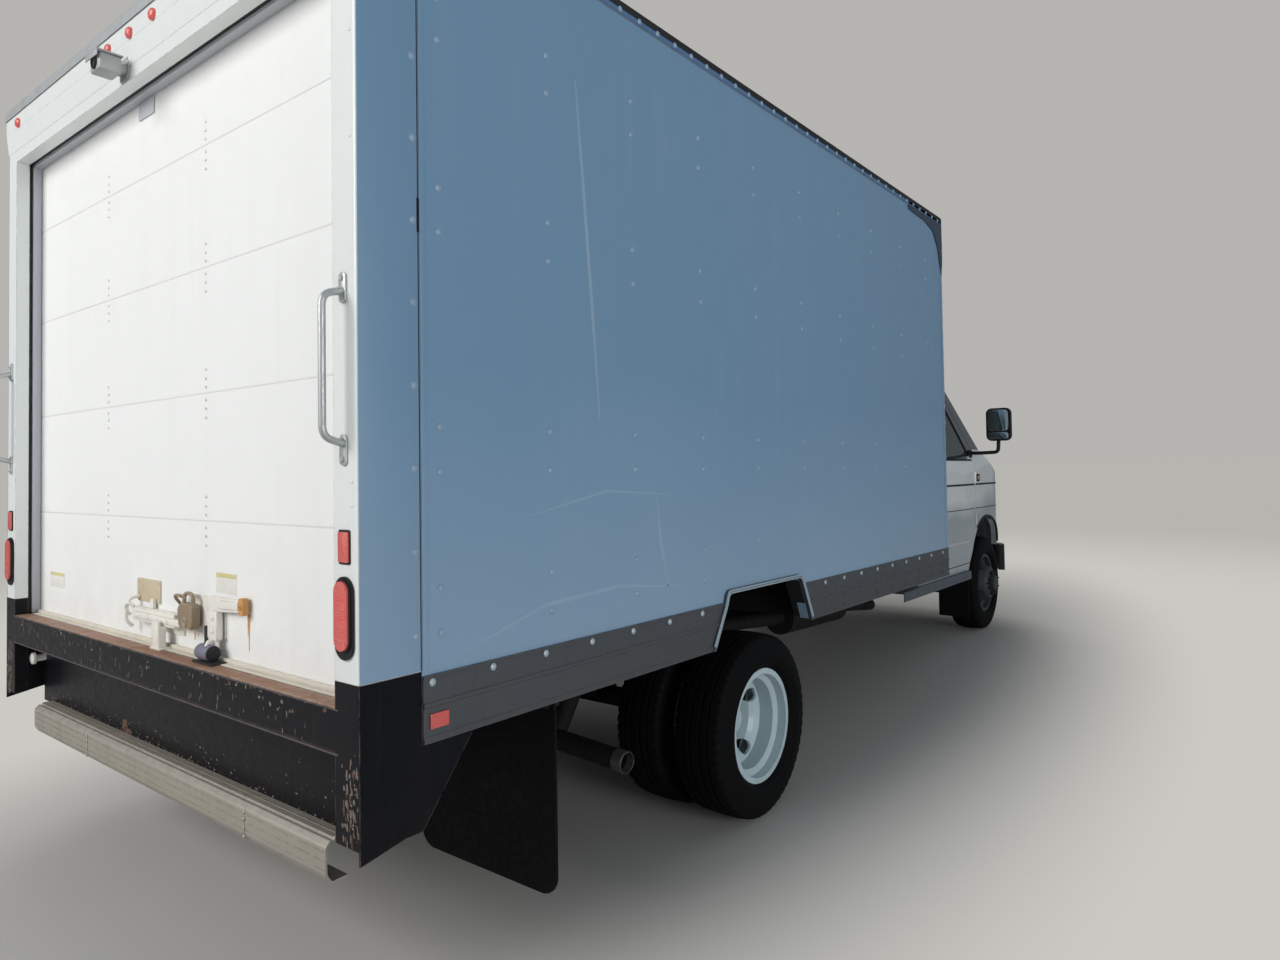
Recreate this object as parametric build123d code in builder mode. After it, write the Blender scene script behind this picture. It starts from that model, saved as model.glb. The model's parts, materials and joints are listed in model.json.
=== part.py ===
from build123d import *
import math
import os

# Box truck: a dry-freight box with a roll-up rear door on a van chassis with a cutaway cab.
# It is drawn level. X runs forward from the rear face of the box, Y to the left, and Z up
# from the ground under the rear axle. At the end it is set down on its wheels, nose down
# by the rake that such a truck has when it is empty. Lengths are in millimetres.

os.makedirs("parts", exist_ok=True)

# Stance and wheels
rake = 1.5
rear_axle_x = 1848.0
tyre_radius = 355.0
tyre_width = 223.0
rim_radius = 220.0
bead_radius = 204.0
rim_half = 88.0
disc_offset = 136.0
front_track = 1763.0
dual_centre = 996.0
hub_bore = 61.0

# Cargo box
box_length = 4267.0
box_width = 2438.0
floor_top = 815.0
wall_top = 2839.0
wall_bottom = 711.0
wall = 40.0
deck = 28.0
cross_depth = 76.0
corner_radius = 90.0
rail_height = 50.0
post_width = 97.0
post_depth = 178.0
jamb_depth = 46.0
header_bottom = wall_top - 184.0
boot_top = 881.0
boot_bottom = 506.0
rub_top = 869.0
rub_bottom = 705.0
sill_bottom = 715.0
sill_depth = 120.0
skirt_x = 106.0
skirt_bottom = 458.0
skirt_sheet = 4.0

# Roll-up door
door_recess = 95.0
door_thick = 22.0
door_seams = (1226.0, 1617.0, 2006.0, 2386.0)
door_top = header_bottom + 65.0

# Cab
cab_rear = box_length + 63.0
cab_half = 1003.0
cab_bottom = 600.0
cab_wall = 40.0
cab_floor_top = 720.0
door_rear = cab_rear + 160.0
door_front = cab_rear + 1230.0
door_gap = 6.0
arch_radius = 470.0
cab_nose_x = cab_rear + 2295.0
beyond_nose = cab_rear + 2470.0

# Chassis frame
frame_half = 432.0
rail_depth = 160.0
rail_flange = 70.0
rail_web = 6.0
frame_rear = 150.0
frame_front = cab_rear + 2170.0
wheelbase = box_length - 254.0

# Running clearances
seat_gap = 0.3
swing_gap = 6.0

box_half = box_width / 2
inner_half = box_half - wall
jamb_y = box_half - post_width
frame_top = floor_top - deck - cross_depth - 56.0
frame_bottom = frame_top - rail_depth
front_axle_x = rear_axle_x + wheelbase * math.cos(math.radians(rake))
front_axle_z = tyre_radius + wheelbase * math.sin(math.radians(rake))
front_wheel_y = front_track / 2
front_face_y = front_wheel_y + disc_offset
kingpin_y = front_wheel_y - 81.0

finished = {}


def keep(name, piece):
    """Labels a finished piece and sets it aside until the truck is stood on its wheels."""
    piece.label = name
    finished[name] = piece


def across(x):
    """A plane facing forward at station x, drawn in (y, z)."""
    return Plane(origin=(x, 0, 0), x_dir=(0, 1, 0), z_dir=(1, 0, 0))


def slab(x0, x1, y0, y1, z0, z1, mode=Mode.ADD):
    """A square-cut block between two corners."""
    with Locations(((x0 + x1) / 2, (y0 + y1) / 2, (z0 + z1) / 2)):
        Box(x1 - x0, y1 - y0, z1 - z0, mode=mode)


def side_slab(side, x0, x1, y0, y1, z0, z1, mode=Mode.ADD):
    """A block on the left (side 1) or the right (side -1), with y0 and y1 measured outward."""
    slab(x0, x1, min(side * y0, side * y1), max(side * y0, side * y1), z0, z1, mode=mode)


def side_prism(points, y0, y1, radii=None, margin=0, mode=Mode.ADD):
    """An outline of (x, z) points, widened by margin and extruded from y0 to y1."""
    with BuildSketch(Plane.XZ.offset(-y1)) as profile:
        with BuildLine():
            if radii is None:
                Polyline(*points, close=True)
            else:
                FilletPolyline(*points, radius=radii, close=True)
        make_face()
        if margin:
            offset(amount=margin)
    extrude(profile.sketch, amount=y1 - y0, mode=mode)


def plan_prism(points, z0, z1, radii=None, mode=Mode.ADD):
    """An outline of (x, y) points, seen from above, extruded from z0 to z1."""
    with BuildSketch(Plane.XY.offset(z0)) as profile:
        with BuildLine():
            if radii is None:
                Polyline(*points, close=True)
            else:
                FilletPolyline(*points, radius=radii, close=True)
        make_face()
    extrude(profile.sketch, amount=z1 - z0, mode=mode)


def end_prism(points, x0, x1, radii=None, mode=Mode.ADD):
    """An outline of (y, z) points, seen from behind, extruded from x0 to x1."""
    with BuildSketch(across(x0)) as profile:
        with BuildLine():
            if radii is None:
                Polyline(*points, close=True)
            else:
                FilletPolyline(*points, radius=radii, close=True)
        make_face()
    extrude(profile.sketch, amount=x1 - x0, mode=mode)


def rod(start, end, radius, mode=Mode.ADD):
    """A round bar between two points."""
    a = Vector(*start)
    b = Vector(*end)
    with BuildSketch(Plane(origin=a, z_dir=(b - a).normalized())) as disc:
        Circle(radius)
    extrude(disc.sketch, amount=(b - a).length, mode=mode)


def bent_rod(route, radius):
    """A round bar along straight runs, with a ball at each bend."""
    for start, end in zip(route, route[1:]):
        rod(start, end, radius)
    for point in route[1:-1]:
        with Locations(point):
            Sphere(radius)


def spun(points, x, z):
    """A ring turned about the wheel axis at (x, z), from (y, radius) points."""
    axis = Axis((x, 0, z), (0, 1, 0))
    with BuildSketch(Plane(origin=(x, 0, z), x_dir=(0, 1, 0), z_dir=(1, 0, 0))) as profile:
        with BuildLine():
            Polyline(*points, close=True)
        make_face()
    revolve(profile.sketch, axis=axis)


# Chassis frame: two channel rails, open inward, joined by boxed crossmembers.
# Rows are (station, height above the rail's underside); the later ones clear the shaft.
cross_rows = (
    (200.0, 20.0),
    (1330.0, 60.0),
    (2700.0, 60.0),
    (cab_rear - 630.0, 60.0),
    (cab_rear + 60.0, 110.0),
    (frame_front - 100.0, 20.0),
)
cross_width = 60.0
with BuildPart() as frame_rails:
    slab(frame_rear, frame_front, frame_half - rail_flange, frame_half, frame_bottom, frame_top)
    slab(
        frame_rear,
        frame_front,
        frame_half - rail_flange,
        frame_half - rail_web,
        frame_bottom + rail_web,
        frame_top - rail_web,
        mode=Mode.SUBTRACT,
    )
    mirror(about=Plane.XZ)
    web_y = frame_half - rail_web
    for x, lift in cross_rows:
        slab(x, x + cross_width, -web_y, web_y, frame_bottom + lift, frame_top - 10)
keep("frame_rails", frame_rails.part)

# Powertrain: the engine as one block, the gearbox behind it, and the propeller shaft.
engine_rear = cab_rear + 850.0
engine_front = engine_rear + 940.0
engine_half = 285.0
engine_bottom = 520.0
engine_top = 1130.0
shaft_z = 560.0
shaft_radius = 40.0
gearbox_rear = engine_rear - 700.0
pinion_front = rear_axle_x + 314.0
joint_radius = 48.0
joint_x = pinion_front + joint_radius + seat_gap
with BuildPart() as powertrain:
    slab(engine_rear, engine_front, -engine_half, engine_half, engine_bottom, engine_top)
    with BuildSketch(Plane.XZ):
        with BuildLine():
            Polyline(
                (gearbox_rear, shaft_z),
                (gearbox_rear, shaft_z + 62),
                (gearbox_rear + 260, shaft_z + 80),
                (gearbox_rear + 480, shaft_z + 105),
                (engine_rear, shaft_z + 122),
                (engine_rear, shaft_z),
                close=True,
            )
        make_face()
    revolve(axis=Axis((0, 0, shaft_z), (1, 0, 0)))
    rod((gearbox_rear, 0, shaft_z), (joint_x, 0, tyre_radius), shaft_radius)
    with Locations((joint_x, 0, tyre_radius)):
        Sphere(joint_radius)
keep("powertrain", powertrain.part)

# Exhaust: pipe and muffler outside the right rail, and a tail pipe turned out behind the wheels.
pipe_radius = 38.0
pipe_wall = 4.0
muffler_radius = 92.0
muffler_front = engine_rear - 1250.0
muffler_rear = muffler_front - 730.0
tail_bend = Vector(rear_axle_x - 586, -650, 345)
tail_end = Vector(rear_axle_x - 603, -1015, 330)
tail_bore_start = tail_end + (tail_bend - tail_end).normalized() * 100
with BuildPart() as exhaust:
    bent_rod(
        [
            (engine_rear + 60, -240, engine_bottom - seat_gap),
            (engine_rear + 60, -240, 440),
            (engine_rear - 280, -290, 430),
            (engine_rear - 680, -590, 430),
            (muffler_front - 30, -590, 500),
        ],
        pipe_radius,
    )
    rod((muffler_front, -590, 500), (muffler_rear, -590, 520), muffler_radius)
    bent_rod(
        [
            (muffler_rear + 30, -590, 520),
            (rear_axle_x + 652, -560, 575),
            (rear_axle_x - 288, -560, 590),
            tail_bend,
            tail_end,
        ],
        pipe_radius,
    )
    rod(tail_bore_start, tail_end, pipe_radius - pipe_wall, mode=Mode.SUBTRACT)
keep("exhaust", exhaust.part)

# Fuel tank: slung between the rails behind the rear axle.
tank_front = rear_axle_x - 578.0
tank_rear = tank_front - 930.0
tank_half = 330.0
tank_bottom = 320.0
tank_top = 590.0
strap = 50.0
strap_sheet = 4.0
strap_reach = frame_half - rail_web - seat_gap
with BuildPart() as fuel_tank:
    slab(tank_rear, tank_front, -tank_half, tank_half, tank_bottom, tank_top)
    fillet(fuel_tank.edges().filter_by(Axis.X), 45)
    for x in (tank_rear + 200, tank_front - 250):
        slab(x, x + strap, -tank_half - strap_sheet, tank_half + strap_sheet, tank_bottom - strap_sheet, tank_top)
        slab(x, x + strap, -strap_reach, strap_reach, tank_top - strap_sheet, tank_top + 10)
keep("fuel_tank", fuel_tank.part)

# Rear axle: tube housing with its differential, on two leaf packs hung under the rails.
spring_y = frame_half - rail_flange / 2
spring_width = 76.0
axle_tube = 42.0
seat_z = tyre_radius + axle_tube + 12.0
spindle_radius = 30.0
drum_inner_y = 850.0
leaf = 13.0
leaf_halves = (700.0, 560.0, 420.0, 280.0)
with BuildPart() as rear_axle:
    tube_end = drum_inner_y - swing_gap
    spindle_end = drum_inner_y + 60
    rod((rear_axle_x, -tube_end, tyre_radius), (rear_axle_x, tube_end, tyre_radius), axle_tube)
    rod((rear_axle_x, -spindle_end, tyre_radius), (rear_axle_x, spindle_end, tyre_radius), spindle_radius)
    with BuildSketch(Plane(origin=(rear_axle_x, 0, tyre_radius), x_dir=(0, 1, 0), z_dir=(1, 0, 0))):
        with BuildLine():
            Polyline(
                (-230, 0),
                (-230, axle_tube),
                (-110, 130),
                (0, 165),
                (110, 130),
                (230, axle_tube),
                (230, 0),
                close=True,
            )
        make_face()
    revolve(axis=Axis((rear_axle_x, 0, tyre_radius), (0, 1, 0)))
    rod((rear_axle_x, 0, tyre_radius), (pinion_front - 14, 0, tyre_radius), 62)
    rod((pinion_front - 14, 0, tyre_radius), (pinion_front, 0, tyre_radius), 72)
    for side in (1, -1):
        y0 = side * spring_y - spring_width / 2
        y1 = side * spring_y + spring_width / 2
        slab(rear_axle_x - 70, rear_axle_x + 70, y0, y1, tyre_radius, seat_z + leaf)
        for layer, half in enumerate(leaf_halves):
            z = seat_z + leaf * (len(leaf_halves) - 1 - layer)
            rise = 26.0 * (half / leaf_halves[0]) ** 2
            with BuildSketch(Plane.XZ.offset(-y1)):
                with BuildLine():
                    ThreePointArc(
                        (rear_axle_x - half, z + rise), (rear_axle_x, z), (rear_axle_x + half, z + rise)
                    )
                    Line((rear_axle_x + half, z + rise), (rear_axle_x + half, z + rise + leaf))
                    ThreePointArc(
                        (rear_axle_x + half, z + rise + leaf),
                        (rear_axle_x, z + leaf),
                        (rear_axle_x - half, z + rise + leaf),
                    )
                    Line((rear_axle_x - half, z + rise + leaf), (rear_axle_x - half, z + rise))
                make_face()
            extrude(amount=spring_width)
        for end in (-1, 1):
            x = rear_axle_x + end * leaf_halves[0]
            slab(x - 34, x + 34, y0, y1, seat_z + 2 * leaf, frame_bottom - seat_gap)
keep("rear_axle", rear_axle.part)

# Front axle: a dropped I-beam with eyes for the kingpins, and two coil towers to the rails.
eye_radius = 36.0
eye_half = 46.0
kingpin_radius = 14.0
coil_y = 560.0
coil_radius = 60.0
beam_z = front_axle_z - 62.0


def kingpin_rod(y, low, high, radius, mode=Mode.ADD):
    """A round piece on a kingpin's line, between heights above the axle."""
    rod((front_axle_x, y, front_axle_z + low), (front_axle_x, y, front_axle_z + high), radius, mode=mode)


with BuildPart() as front_axle:
    end_prism(
        [
            (-kingpin_y, front_axle_z + 34),
            (-kingpin_y + 60, front_axle_z + 34),
            (-620, beam_z + 42),
            (620, beam_z + 42),
            (kingpin_y - 60, front_axle_z + 34),
            (kingpin_y, front_axle_z + 34),
            (kingpin_y, front_axle_z - 34),
            (kingpin_y - 60, front_axle_z - 40),
            (620, beam_z - 42),
            (-620, beam_z - 42),
            (-kingpin_y + 60, front_axle_z - 40),
            (-kingpin_y, front_axle_z - 34),
        ],
        front_axle_x - 30,
        front_axle_x + 30,
    )
    for x in (front_axle_x - 30, front_axle_x + 8):
        slab(x, x + 22, -600, 600, beam_z - 28, beam_z + 28, mode=Mode.SUBTRACT)
    for side in (1, -1):
        y = side * kingpin_y
        kingpin_rod(y, -eye_half, eye_half, eye_radius)
        kingpin_rod(y, -60, 60, kingpin_radius + seat_gap, mode=Mode.SUBTRACT)
        cup = (front_axle_x, side * coil_y, frame_top - 20)
        rod((front_axle_x, side * coil_y, beam_z + 30), cup, coil_radius)
        rod(cup, (front_axle_x, side * coil_y, frame_top - 8), coil_radius + 14)
        side_slab(
            side,
            front_axle_x - 70,
            front_axle_x + 70,
            frame_half + seat_gap,
            coil_y,
            frame_top - 60,
            frame_top - 8,
        )
keep("front_axle", front_axle.part)

# Knuckles: a yoke round each axle eye with the kingpin through it, and the wheel's spindle.
yoke_half = eye_half + 34.0
yoke_gap = eye_half + 6.0
yoke_web_y = kingpin_y + 48.0
yoke_web = 26.0
yoke_side = 30.0
stub_radius = 25.0
rotor_inner_y = front_wheel_y + 6.0
rotor_radius = 140.0
with BuildPart() as left_knuckle:
    yoke_rear = front_axle_x - yoke_side
    yoke_front = front_axle_x + yoke_side
    web_outer = yoke_web_y + yoke_web
    for low, high in ((-yoke_half, -yoke_gap), (yoke_gap, yoke_half)):
        kingpin_rod(kingpin_y, low, high, eye_radius - 2)
        slab(yoke_rear, yoke_front, kingpin_y, web_outer, front_axle_z + low, front_axle_z + high)
    slab(yoke_rear, yoke_front, yoke_web_y, web_outer, front_axle_z - yoke_half, front_axle_z + yoke_half)
    kingpin_rod(kingpin_y, -yoke_half - 8, yoke_half + 8, kingpin_radius)
    hub_root = (front_axle_x, web_outer - swing_gap, front_axle_z)
    rod(hub_root, (front_axle_x, rotor_inner_y + 64, front_axle_z), stub_radius)
keep("left_knuckle", left_knuckle.part)
keep("right_knuckle", mirror(left_knuckle.part, about=Plane.XZ))


def wheel_rim(side_y, disc_side, x, z):
    """A steel rim centred at side_y whose disc is dished towards disc_side (1 outward on the left)."""
    barrel = [
        (-rim_half, rim_radius),
        (-rim_half + 6, rim_radius),
        (-rim_half + 6, bead_radius),
        (-50, bead_radius),
        (-38, 181),
        (38, 181),
        (50, bead_radius),
        (rim_half - 6, bead_radius),
        (rim_half - 6, rim_radius),
        (rim_half, rim_radius),
        (rim_half, bead_radius - 6),
        (53, bead_radius - 6),
        (41, 175),
        (-41, 175),
        (-53, bead_radius - 6),
        (-rim_half, bead_radius - 6),
    ]
    spun([(side_y + disc_side * a, r) for a, r in barrel], x, z)
    face = disc_offset
    disc = [
        (18, 176),
        (30, 176),
        (41, 156),
        (56, 142),
        (face - 20, 124),
        (face - 4, 114),
        (face, 107),
        (face, hub_bore),
        (face - 8, hub_bore),
        (face - 8, 103),
        (face - 12, 107),
        (face - 26, 116),
        (48, 134),
        (32, 151),
    ]
    spun([(side_y + disc_side * a, r) for a, r in disc], x, z)


def hand_holes(side_y, disc_side, x, z, count):
    """Oval openings through the shallow outer part of a wheel disc."""
    start = side_y + disc_side * 10
    for k in range(count):
        angle = math.radians(first_hole + 360 / count * k)
        centre = (x + hole_circle * math.cos(angle), start, z + hole_circle * math.sin(angle))
        along = (-math.sin(angle), 0, math.cos(angle))
        with BuildSketch(Plane(origin=centre, x_dir=along, z_dir=(0, disc_side, 0))) as hole:
            SlotOverall(64, 40)
        extrude(hole.sketch, amount=disc_offset, mode=Mode.SUBTRACT)


hole_count = 4
hole_circle = 147.0
first_hole = 30.0
hub_nose = 58.0
hub_flange = 98.0

# Front wheels: the disc faces outward, with the hub and brake disc behind it.
with BuildPart() as left_front_rim:
    wheel_rim(front_wheel_y, 1, front_axle_x, front_axle_z)
    hand_holes(front_wheel_y, 1, front_axle_x, front_axle_z, hole_count)
    spun(
        [
            (rotor_inner_y, stub_radius + seat_gap),
            (rotor_inner_y, rotor_radius),
            (rotor_inner_y + 26, rotor_radius),
            (rotor_inner_y + 26, 68),
            (front_face_y - 20, 68),
            (front_face_y - 20, hub_flange),
            (front_face_y - 8, hub_flange),
            (front_face_y - 8, hub_nose),
            (front_face_y + 30, hub_nose),
            (front_face_y + 40, 40),
            (front_face_y + 40, 0),
            (rotor_inner_y + 70, 0),
            (rotor_inner_y + 70, stub_radius + seat_gap),
        ],
        front_axle_x,
        front_axle_z,
    )
keep("front_left_rim", left_front_rim.part)
keep("front_right_rim", mirror(left_front_rim.part, about=Plane.XZ))

# Rear wheels: two rims back to back on one hub, with the brake drum inside.
with BuildPart() as rear_left_rims:
    wheel_rim(dual_centre + disc_offset, -1, rear_axle_x, tyre_radius)
    hand_holes(dual_centre + disc_offset, -1, rear_axle_x, tyre_radius, hole_count)
    wheel_rim(dual_centre - disc_offset, 1, rear_axle_x, tyre_radius)
    spun(
        [
            (drum_inner_y, spindle_radius + seat_gap),
            (drum_inner_y, 160),
            (dual_centre - 24, 160),
            (dual_centre - 24, hub_flange),
            (dual_centre - 8, hub_flange),
            (dual_centre - 8, hub_nose),
            (dual_centre + 96, hub_nose),
            (dual_centre + 108, 44),
            (dual_centre + 108, 0),
            (drum_inner_y + 66, 0),
            (drum_inner_y + 66, spindle_radius + seat_gap),
        ],
        rear_axle_x,
        tyre_radius,
    )
keep("rear_left_rims", rear_left_rims.part)
keep("rear_right_rims", mirror(rear_left_rims.part, about=Plane.XZ))


def tyre(side_y, x, z):
    """A tyre seated in its rim, with bulged walls and a nearly flat tread."""
    half = tyre_width / 2
    bead = rim_half - 6 - seat_gap
    tread = half - 26
    seat_r = bead_radius + seat_gap
    shoulder = (half - 12, tyre_radius - 26)
    crown_edge = (tread, tyre_radius - 4)
    axis = Axis((x, 0, z), (0, 1, 0))
    with BuildSketch(Plane(origin=(x, side_y, z), x_dir=(0, 1, 0), z_dir=(1, 0, 0))) as profile:
        with BuildLine():
            Line((0, seat_r), (bead, seat_r))
            Line((bead, seat_r), (bead, rim_radius + 3))
            ThreePointArc((bead, rim_radius + 3), (half, rim_radius + 50), shoulder)
            ThreePointArc(shoulder, (half - 16, tyre_radius - 11), crown_edge)
            ThreePointArc(crown_edge, (tread / 2, tyre_radius - 1), (0, tyre_radius))
            mirror(about=Plane.YZ)
        make_face()
    revolve(profile.sketch, axis=axis)


# Tyres: one on each front rim, two on each rear hub.
with BuildPart() as left_front_tyre:
    tyre(front_wheel_y, front_axle_x, front_axle_z)
keep("front_left_tyre", left_front_tyre.part)
keep("front_right_tyre", mirror(left_front_tyre.part, about=Plane.XZ))

with BuildPart() as left_rear_tyres:
    tyre(dual_centre - disc_offset, rear_axle_x, tyre_radius)
    tyre(dual_centre + disc_offset, rear_axle_x, tyre_radius)
keep("rear_left_tyres", left_rear_tyres.part)
keep("rear_right_tyres", mirror(left_rear_tyres.part, about=Plane.XZ))

# Wheel arch of the box, as (x, z) corners from the rear foot round to the front foot.
arch_top = 898.0
arch_points = [
    (rear_axle_x - 355, wall_bottom - 20),
    (rear_axle_x - 259, arch_top - 36),
    (rear_axle_x - 248, arch_top),
    (rear_axle_x + 342, arch_top),
    (rear_axle_x + 367, arch_top - 48),
    (rear_axle_x + 442, wall_bottom - 20),
]
arch_radii = [1, 30, 20, 45, 30, 1]
house_rear = rear_axle_x - 386.0
house_front = rear_axle_x + 474.0
house_inner = 700.0
house_top = arch_top + 17.0
sheet = 4.0

# Understructure: long sills on the frame rails, crossmembers, flap bars and wheel houses.
flap_x = rear_axle_x - 1168.0
flap_thick = 8.0
member = 45.0
member_count = 11
member_first = sill_depth + seat_gap
member_pitch = (box_length - wall - seat_gap - member - member_first) / (member_count - 1)
with BuildPart() as box_sills:
    sill_rear = skirt_x + skirt_sheet + seat_gap
    bar_rear = flap_x + flap_thick / 2 + seat_gap
    slab(sill_rear, box_length - 20, frame_half - rail_flange, frame_half, frame_top, wall_bottom)
    slab(bar_rear, flap_x + 44, frame_half, inner_half - 10, wall_bottom - 40, wall_bottom)
    mirror(about=Plane.XZ)
    for k in range(member_count):
        x = member_first + k * member_pitch
        reach = inner_half - seat_gap
        if house_rear - member < x < house_front:
            reach = house_inner + sheet
        elif k == member_count - 1:
            reach = box_half - corner_radius
        slab(x, x + member, -reach, reach, wall_bottom, wall_bottom + cross_depth)
    for side in (1, -1):
        side_slab(side, house_rear, house_front, house_inner, inner_half - seat_gap, wall_bottom, house_top)
        side_slab(
            side,
            house_rear + sheet,
            house_front - sheet,
            house_inner + sheet,
            box_half,
            wall_bottom - 10,
            house_top - sheet,
            mode=Mode.SUBTRACT,
        )
keep("box_sills", box_sills.part)

# Cargo deck: hardwood boards as one slab, cut round the wheel houses.
with BuildPart() as box_floor:
    deck_half = inner_half - seat_gap
    slab(member_first, box_length - wall - seat_gap, -deck_half, deck_half, floor_top - deck, floor_top)
    for side in (1, -1):
        side_slab(
            side,
            house_rear - seat_gap,
            house_front + seat_gap,
            house_inner - seat_gap,
            box_half,
            floor_top - deck - 1,
            floor_top + 1,
            mode=Mode.SUBTRACT,
        )
    fillet(box_floor.edges().filter_by(Axis.Z).group_by(Axis.X)[-1], corner_radius - wall)
keep("box_floor", box_floor.part)

# Side walls: skin, posts and lining as one thickness, with the wheel arch cut out.
front_post_x = box_length - corner_radius
with BuildPart() as box_walls:
    slab(post_depth, front_post_x, inner_half, box_half, wall_bottom, wall_top)
    side_prism(arch_points, inner_half - 1, box_half + 1, radii=arch_radii, mode=Mode.SUBTRACT)
    mirror(about=Plane.XZ)
keep("box_walls", box_walls.part)

# Front wall, between the rounded corner posts.
with BuildPart() as front_wall:
    reach = box_half - corner_radius
    slab(box_length - wall, box_length, -reach, reach, wall_bottom, wall_top)
keep("front_wall", front_wall.part)

# Roof: one thickness of sheet and bows, resting on the tops of the walls.
roof_top = wall_top + 38.0
rail_inner = inner_half - 30.0
roof_rear = 60.0
roof_front = box_length - wall - 20
with BuildPart() as roof:
    slab(roof_rear, roof_front, -rail_inner, rail_inner, wall_top + seat_gap, roof_top)
keep("roof", roof.part)

# Body rails: extruded rail round the roof, rear cornice in two tiers, rounded front posts.
rail_out = 5.0
cornice_x = -14.0
cornice_step_x = -8.0
cornice_drop = 61.0
with BuildPart() as body_rails:
    plan_prism(
        [
            (cornice_x, -box_half - rail_out),
            (box_length + rail_out, -box_half - rail_out),
            (box_length + rail_out, box_half + rail_out),
            (cornice_x, box_half + rail_out),
        ],
        wall_top,
        wall_top + rail_height,
        radii=[6, corner_radius + rail_out, corner_radius + rail_out, 6],
    )
    top_edges = body_rails.edges().group_by(Axis.Z)[-1]
    fillet(top_edges, 22)
    slab(
        roof_rear - seat_gap,
        roof_front + seat_gap,
        -rail_inner - seat_gap,
        rail_inner + seat_gap,
        wall_top - 1,
        wall_top + rail_height + 1,
        mode=Mode.SUBTRACT,
    )
    slab(cornice_step_x, 0, -box_half, box_half, wall_top - cornice_drop, wall_top)
    for side in (1, -1):
        centre = (front_post_x, side * (box_half - corner_radius))
        with BuildSketch(Plane.XY.offset(rub_bottom)):
            with Locations(centre):
                Circle(corner_radius)
                Circle(corner_radius - wall, mode=Mode.SUBTRACT)
            with Locations((centre[0] - corner_radius, centre[1])):
                Rectangle(2 * corner_radius, 3 * corner_radius, mode=Mode.SUBTRACT)
            with Locations((centre[0], centre[1] - side * corner_radius)):
                Rectangle(3 * corner_radius, 2 * corner_radius, mode=Mode.SUBTRACT)
        extrude(amount=wall_top - rub_bottom)
keep("body_rails", body_rails.part)

# Rear frame: the two posts with their jambs, and the header over the door.
with BuildPart() as rear_frame:
    slab(0, jamb_depth, -box_half, box_half, boot_top, wall_top)
    slab(-1, jamb_depth + 1, -jamb_y, jamb_y, boot_top - 1, header_bottom, mode=Mode.SUBTRACT)
    for side in (1, -1):
        side_slab(side, jamb_depth, post_depth - seat_gap, inner_half, box_half, boot_top, wall_top)
    rear_edges = rear_frame.edges().filter_by(Axis.Z).group_by(Axis.X)[0]
    fillet(rear_edges.filter_by(lambda edge: abs(edge.center().Y) > box_half - 1), 10)
keep("rear_frame", rear_frame.part)

# Rear sill: the channel under the door, and the dropped corner boots with their gussets.
sill_wall = 6.0
boot_wall = 5.0
with BuildPart() as rear_sill:
    slab(0, sill_depth, -jamb_y, jamb_y, sill_bottom, floor_top)
    slab(
        sill_wall,
        sill_depth + 1,
        -jamb_y,
        jamb_y,
        sill_bottom + sill_wall,
        floor_top - sill_wall,
        mode=Mode.SUBTRACT,
    )
    post_foot = boot_top - seat_gap
    skin_y = box_half - boot_wall
    for side in (1, -1):
        side_slab(side, 0, post_depth - seat_gap, skin_y, box_half, wall_bottom, post_foot)
        side_prism(
            [
                (0, rub_bottom + 20),
                (0, 474),
                (128, 497),
                (178, 497),
                (345, rub_bottom - seat_gap),
                (post_depth - seat_gap, rub_bottom - seat_gap),
                (post_depth - seat_gap, rub_bottom + 20),
            ],
            min(side * skin_y, side * box_half),
            max(side * skin_y, side * box_half),
        )
        side_slab(side, 0, boot_wall, jamb_y, box_half, boot_bottom, post_foot)
        side_slab(side, 0, jamb_depth, jamb_y, jamb_y + boot_wall, boot_bottom, post_foot)
keep("rear_sill", rear_sill.part)

# Rear skirt: a folded black panel set in under the sill, between the corner boots.
with BuildPart() as rear_skirt:
    side_prism(
        [
            (skirt_x, skirt_bottom),
            (skirt_x + 24, skirt_bottom),
            (skirt_x + 24, skirt_bottom + skirt_sheet),
            (skirt_x + skirt_sheet, skirt_bottom + skirt_sheet),
            (skirt_x + skirt_sheet, sill_bottom - seat_gap),
            (skirt_x, sill_bottom - seat_gap),
        ],
        -jamb_y + seat_gap,
        jamb_y - seat_gap,
    )
keep("rear_skirt", rear_skirt.part)

# Step bumper: cold-formed galvanised section, open forward, on two arms under the rails.
bumper_half = 1018.0
nose_x = 42.0
ledge_z = 468.0
bumper_sheet = 5.0
with BuildPart() as step_bumper:
    with BuildSketch(Plane.XZ.offset(-bumper_half)) as section:
        with BuildLine() as spine:
            FilletPolyline(
                (skirt_x - 2, ledge_z),
                (nose_x + 26, ledge_z),
                (nose_x + 22, ledge_z - 12),
                (nose_x + 14, ledge_z - 4),
                (nose_x, ledge_z - 18),
                (nose_x, ledge_z - 84),
                (nose_x + 14, ledge_z - 106),
                (nose_x + 60, ledge_z - 104),
                radius=[5, 4, 4, 10, 12, 10],
            )
        trace(line_width=bumper_sheet)
    extrude(amount=2 * bumper_half)
    for side in (1, -1):
        side_prism(
            [
                (nose_x + 2.4, ledge_z - 80),
                (nose_x + 2.4, ledge_z - 22),
                (nose_x + 30, ledge_z - 7),
                (skirt_x - seat_gap, ledge_z - 7),
                (skirt_x - seat_gap, skirt_bottom - seat_gap),
                (frame_rear, skirt_bottom - seat_gap),
                (frame_rear, frame_bottom - seat_gap),
                (frame_rear + 170, frame_bottom - seat_gap),
                (frame_rear + 170, frame_bottom - 20),
                (frame_rear + 60, ledge_z - 56),
            ],
            side * spring_y - 6,
            side * spring_y + 6,
        )
keep("step_bumper", step_bumper.part)

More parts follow.
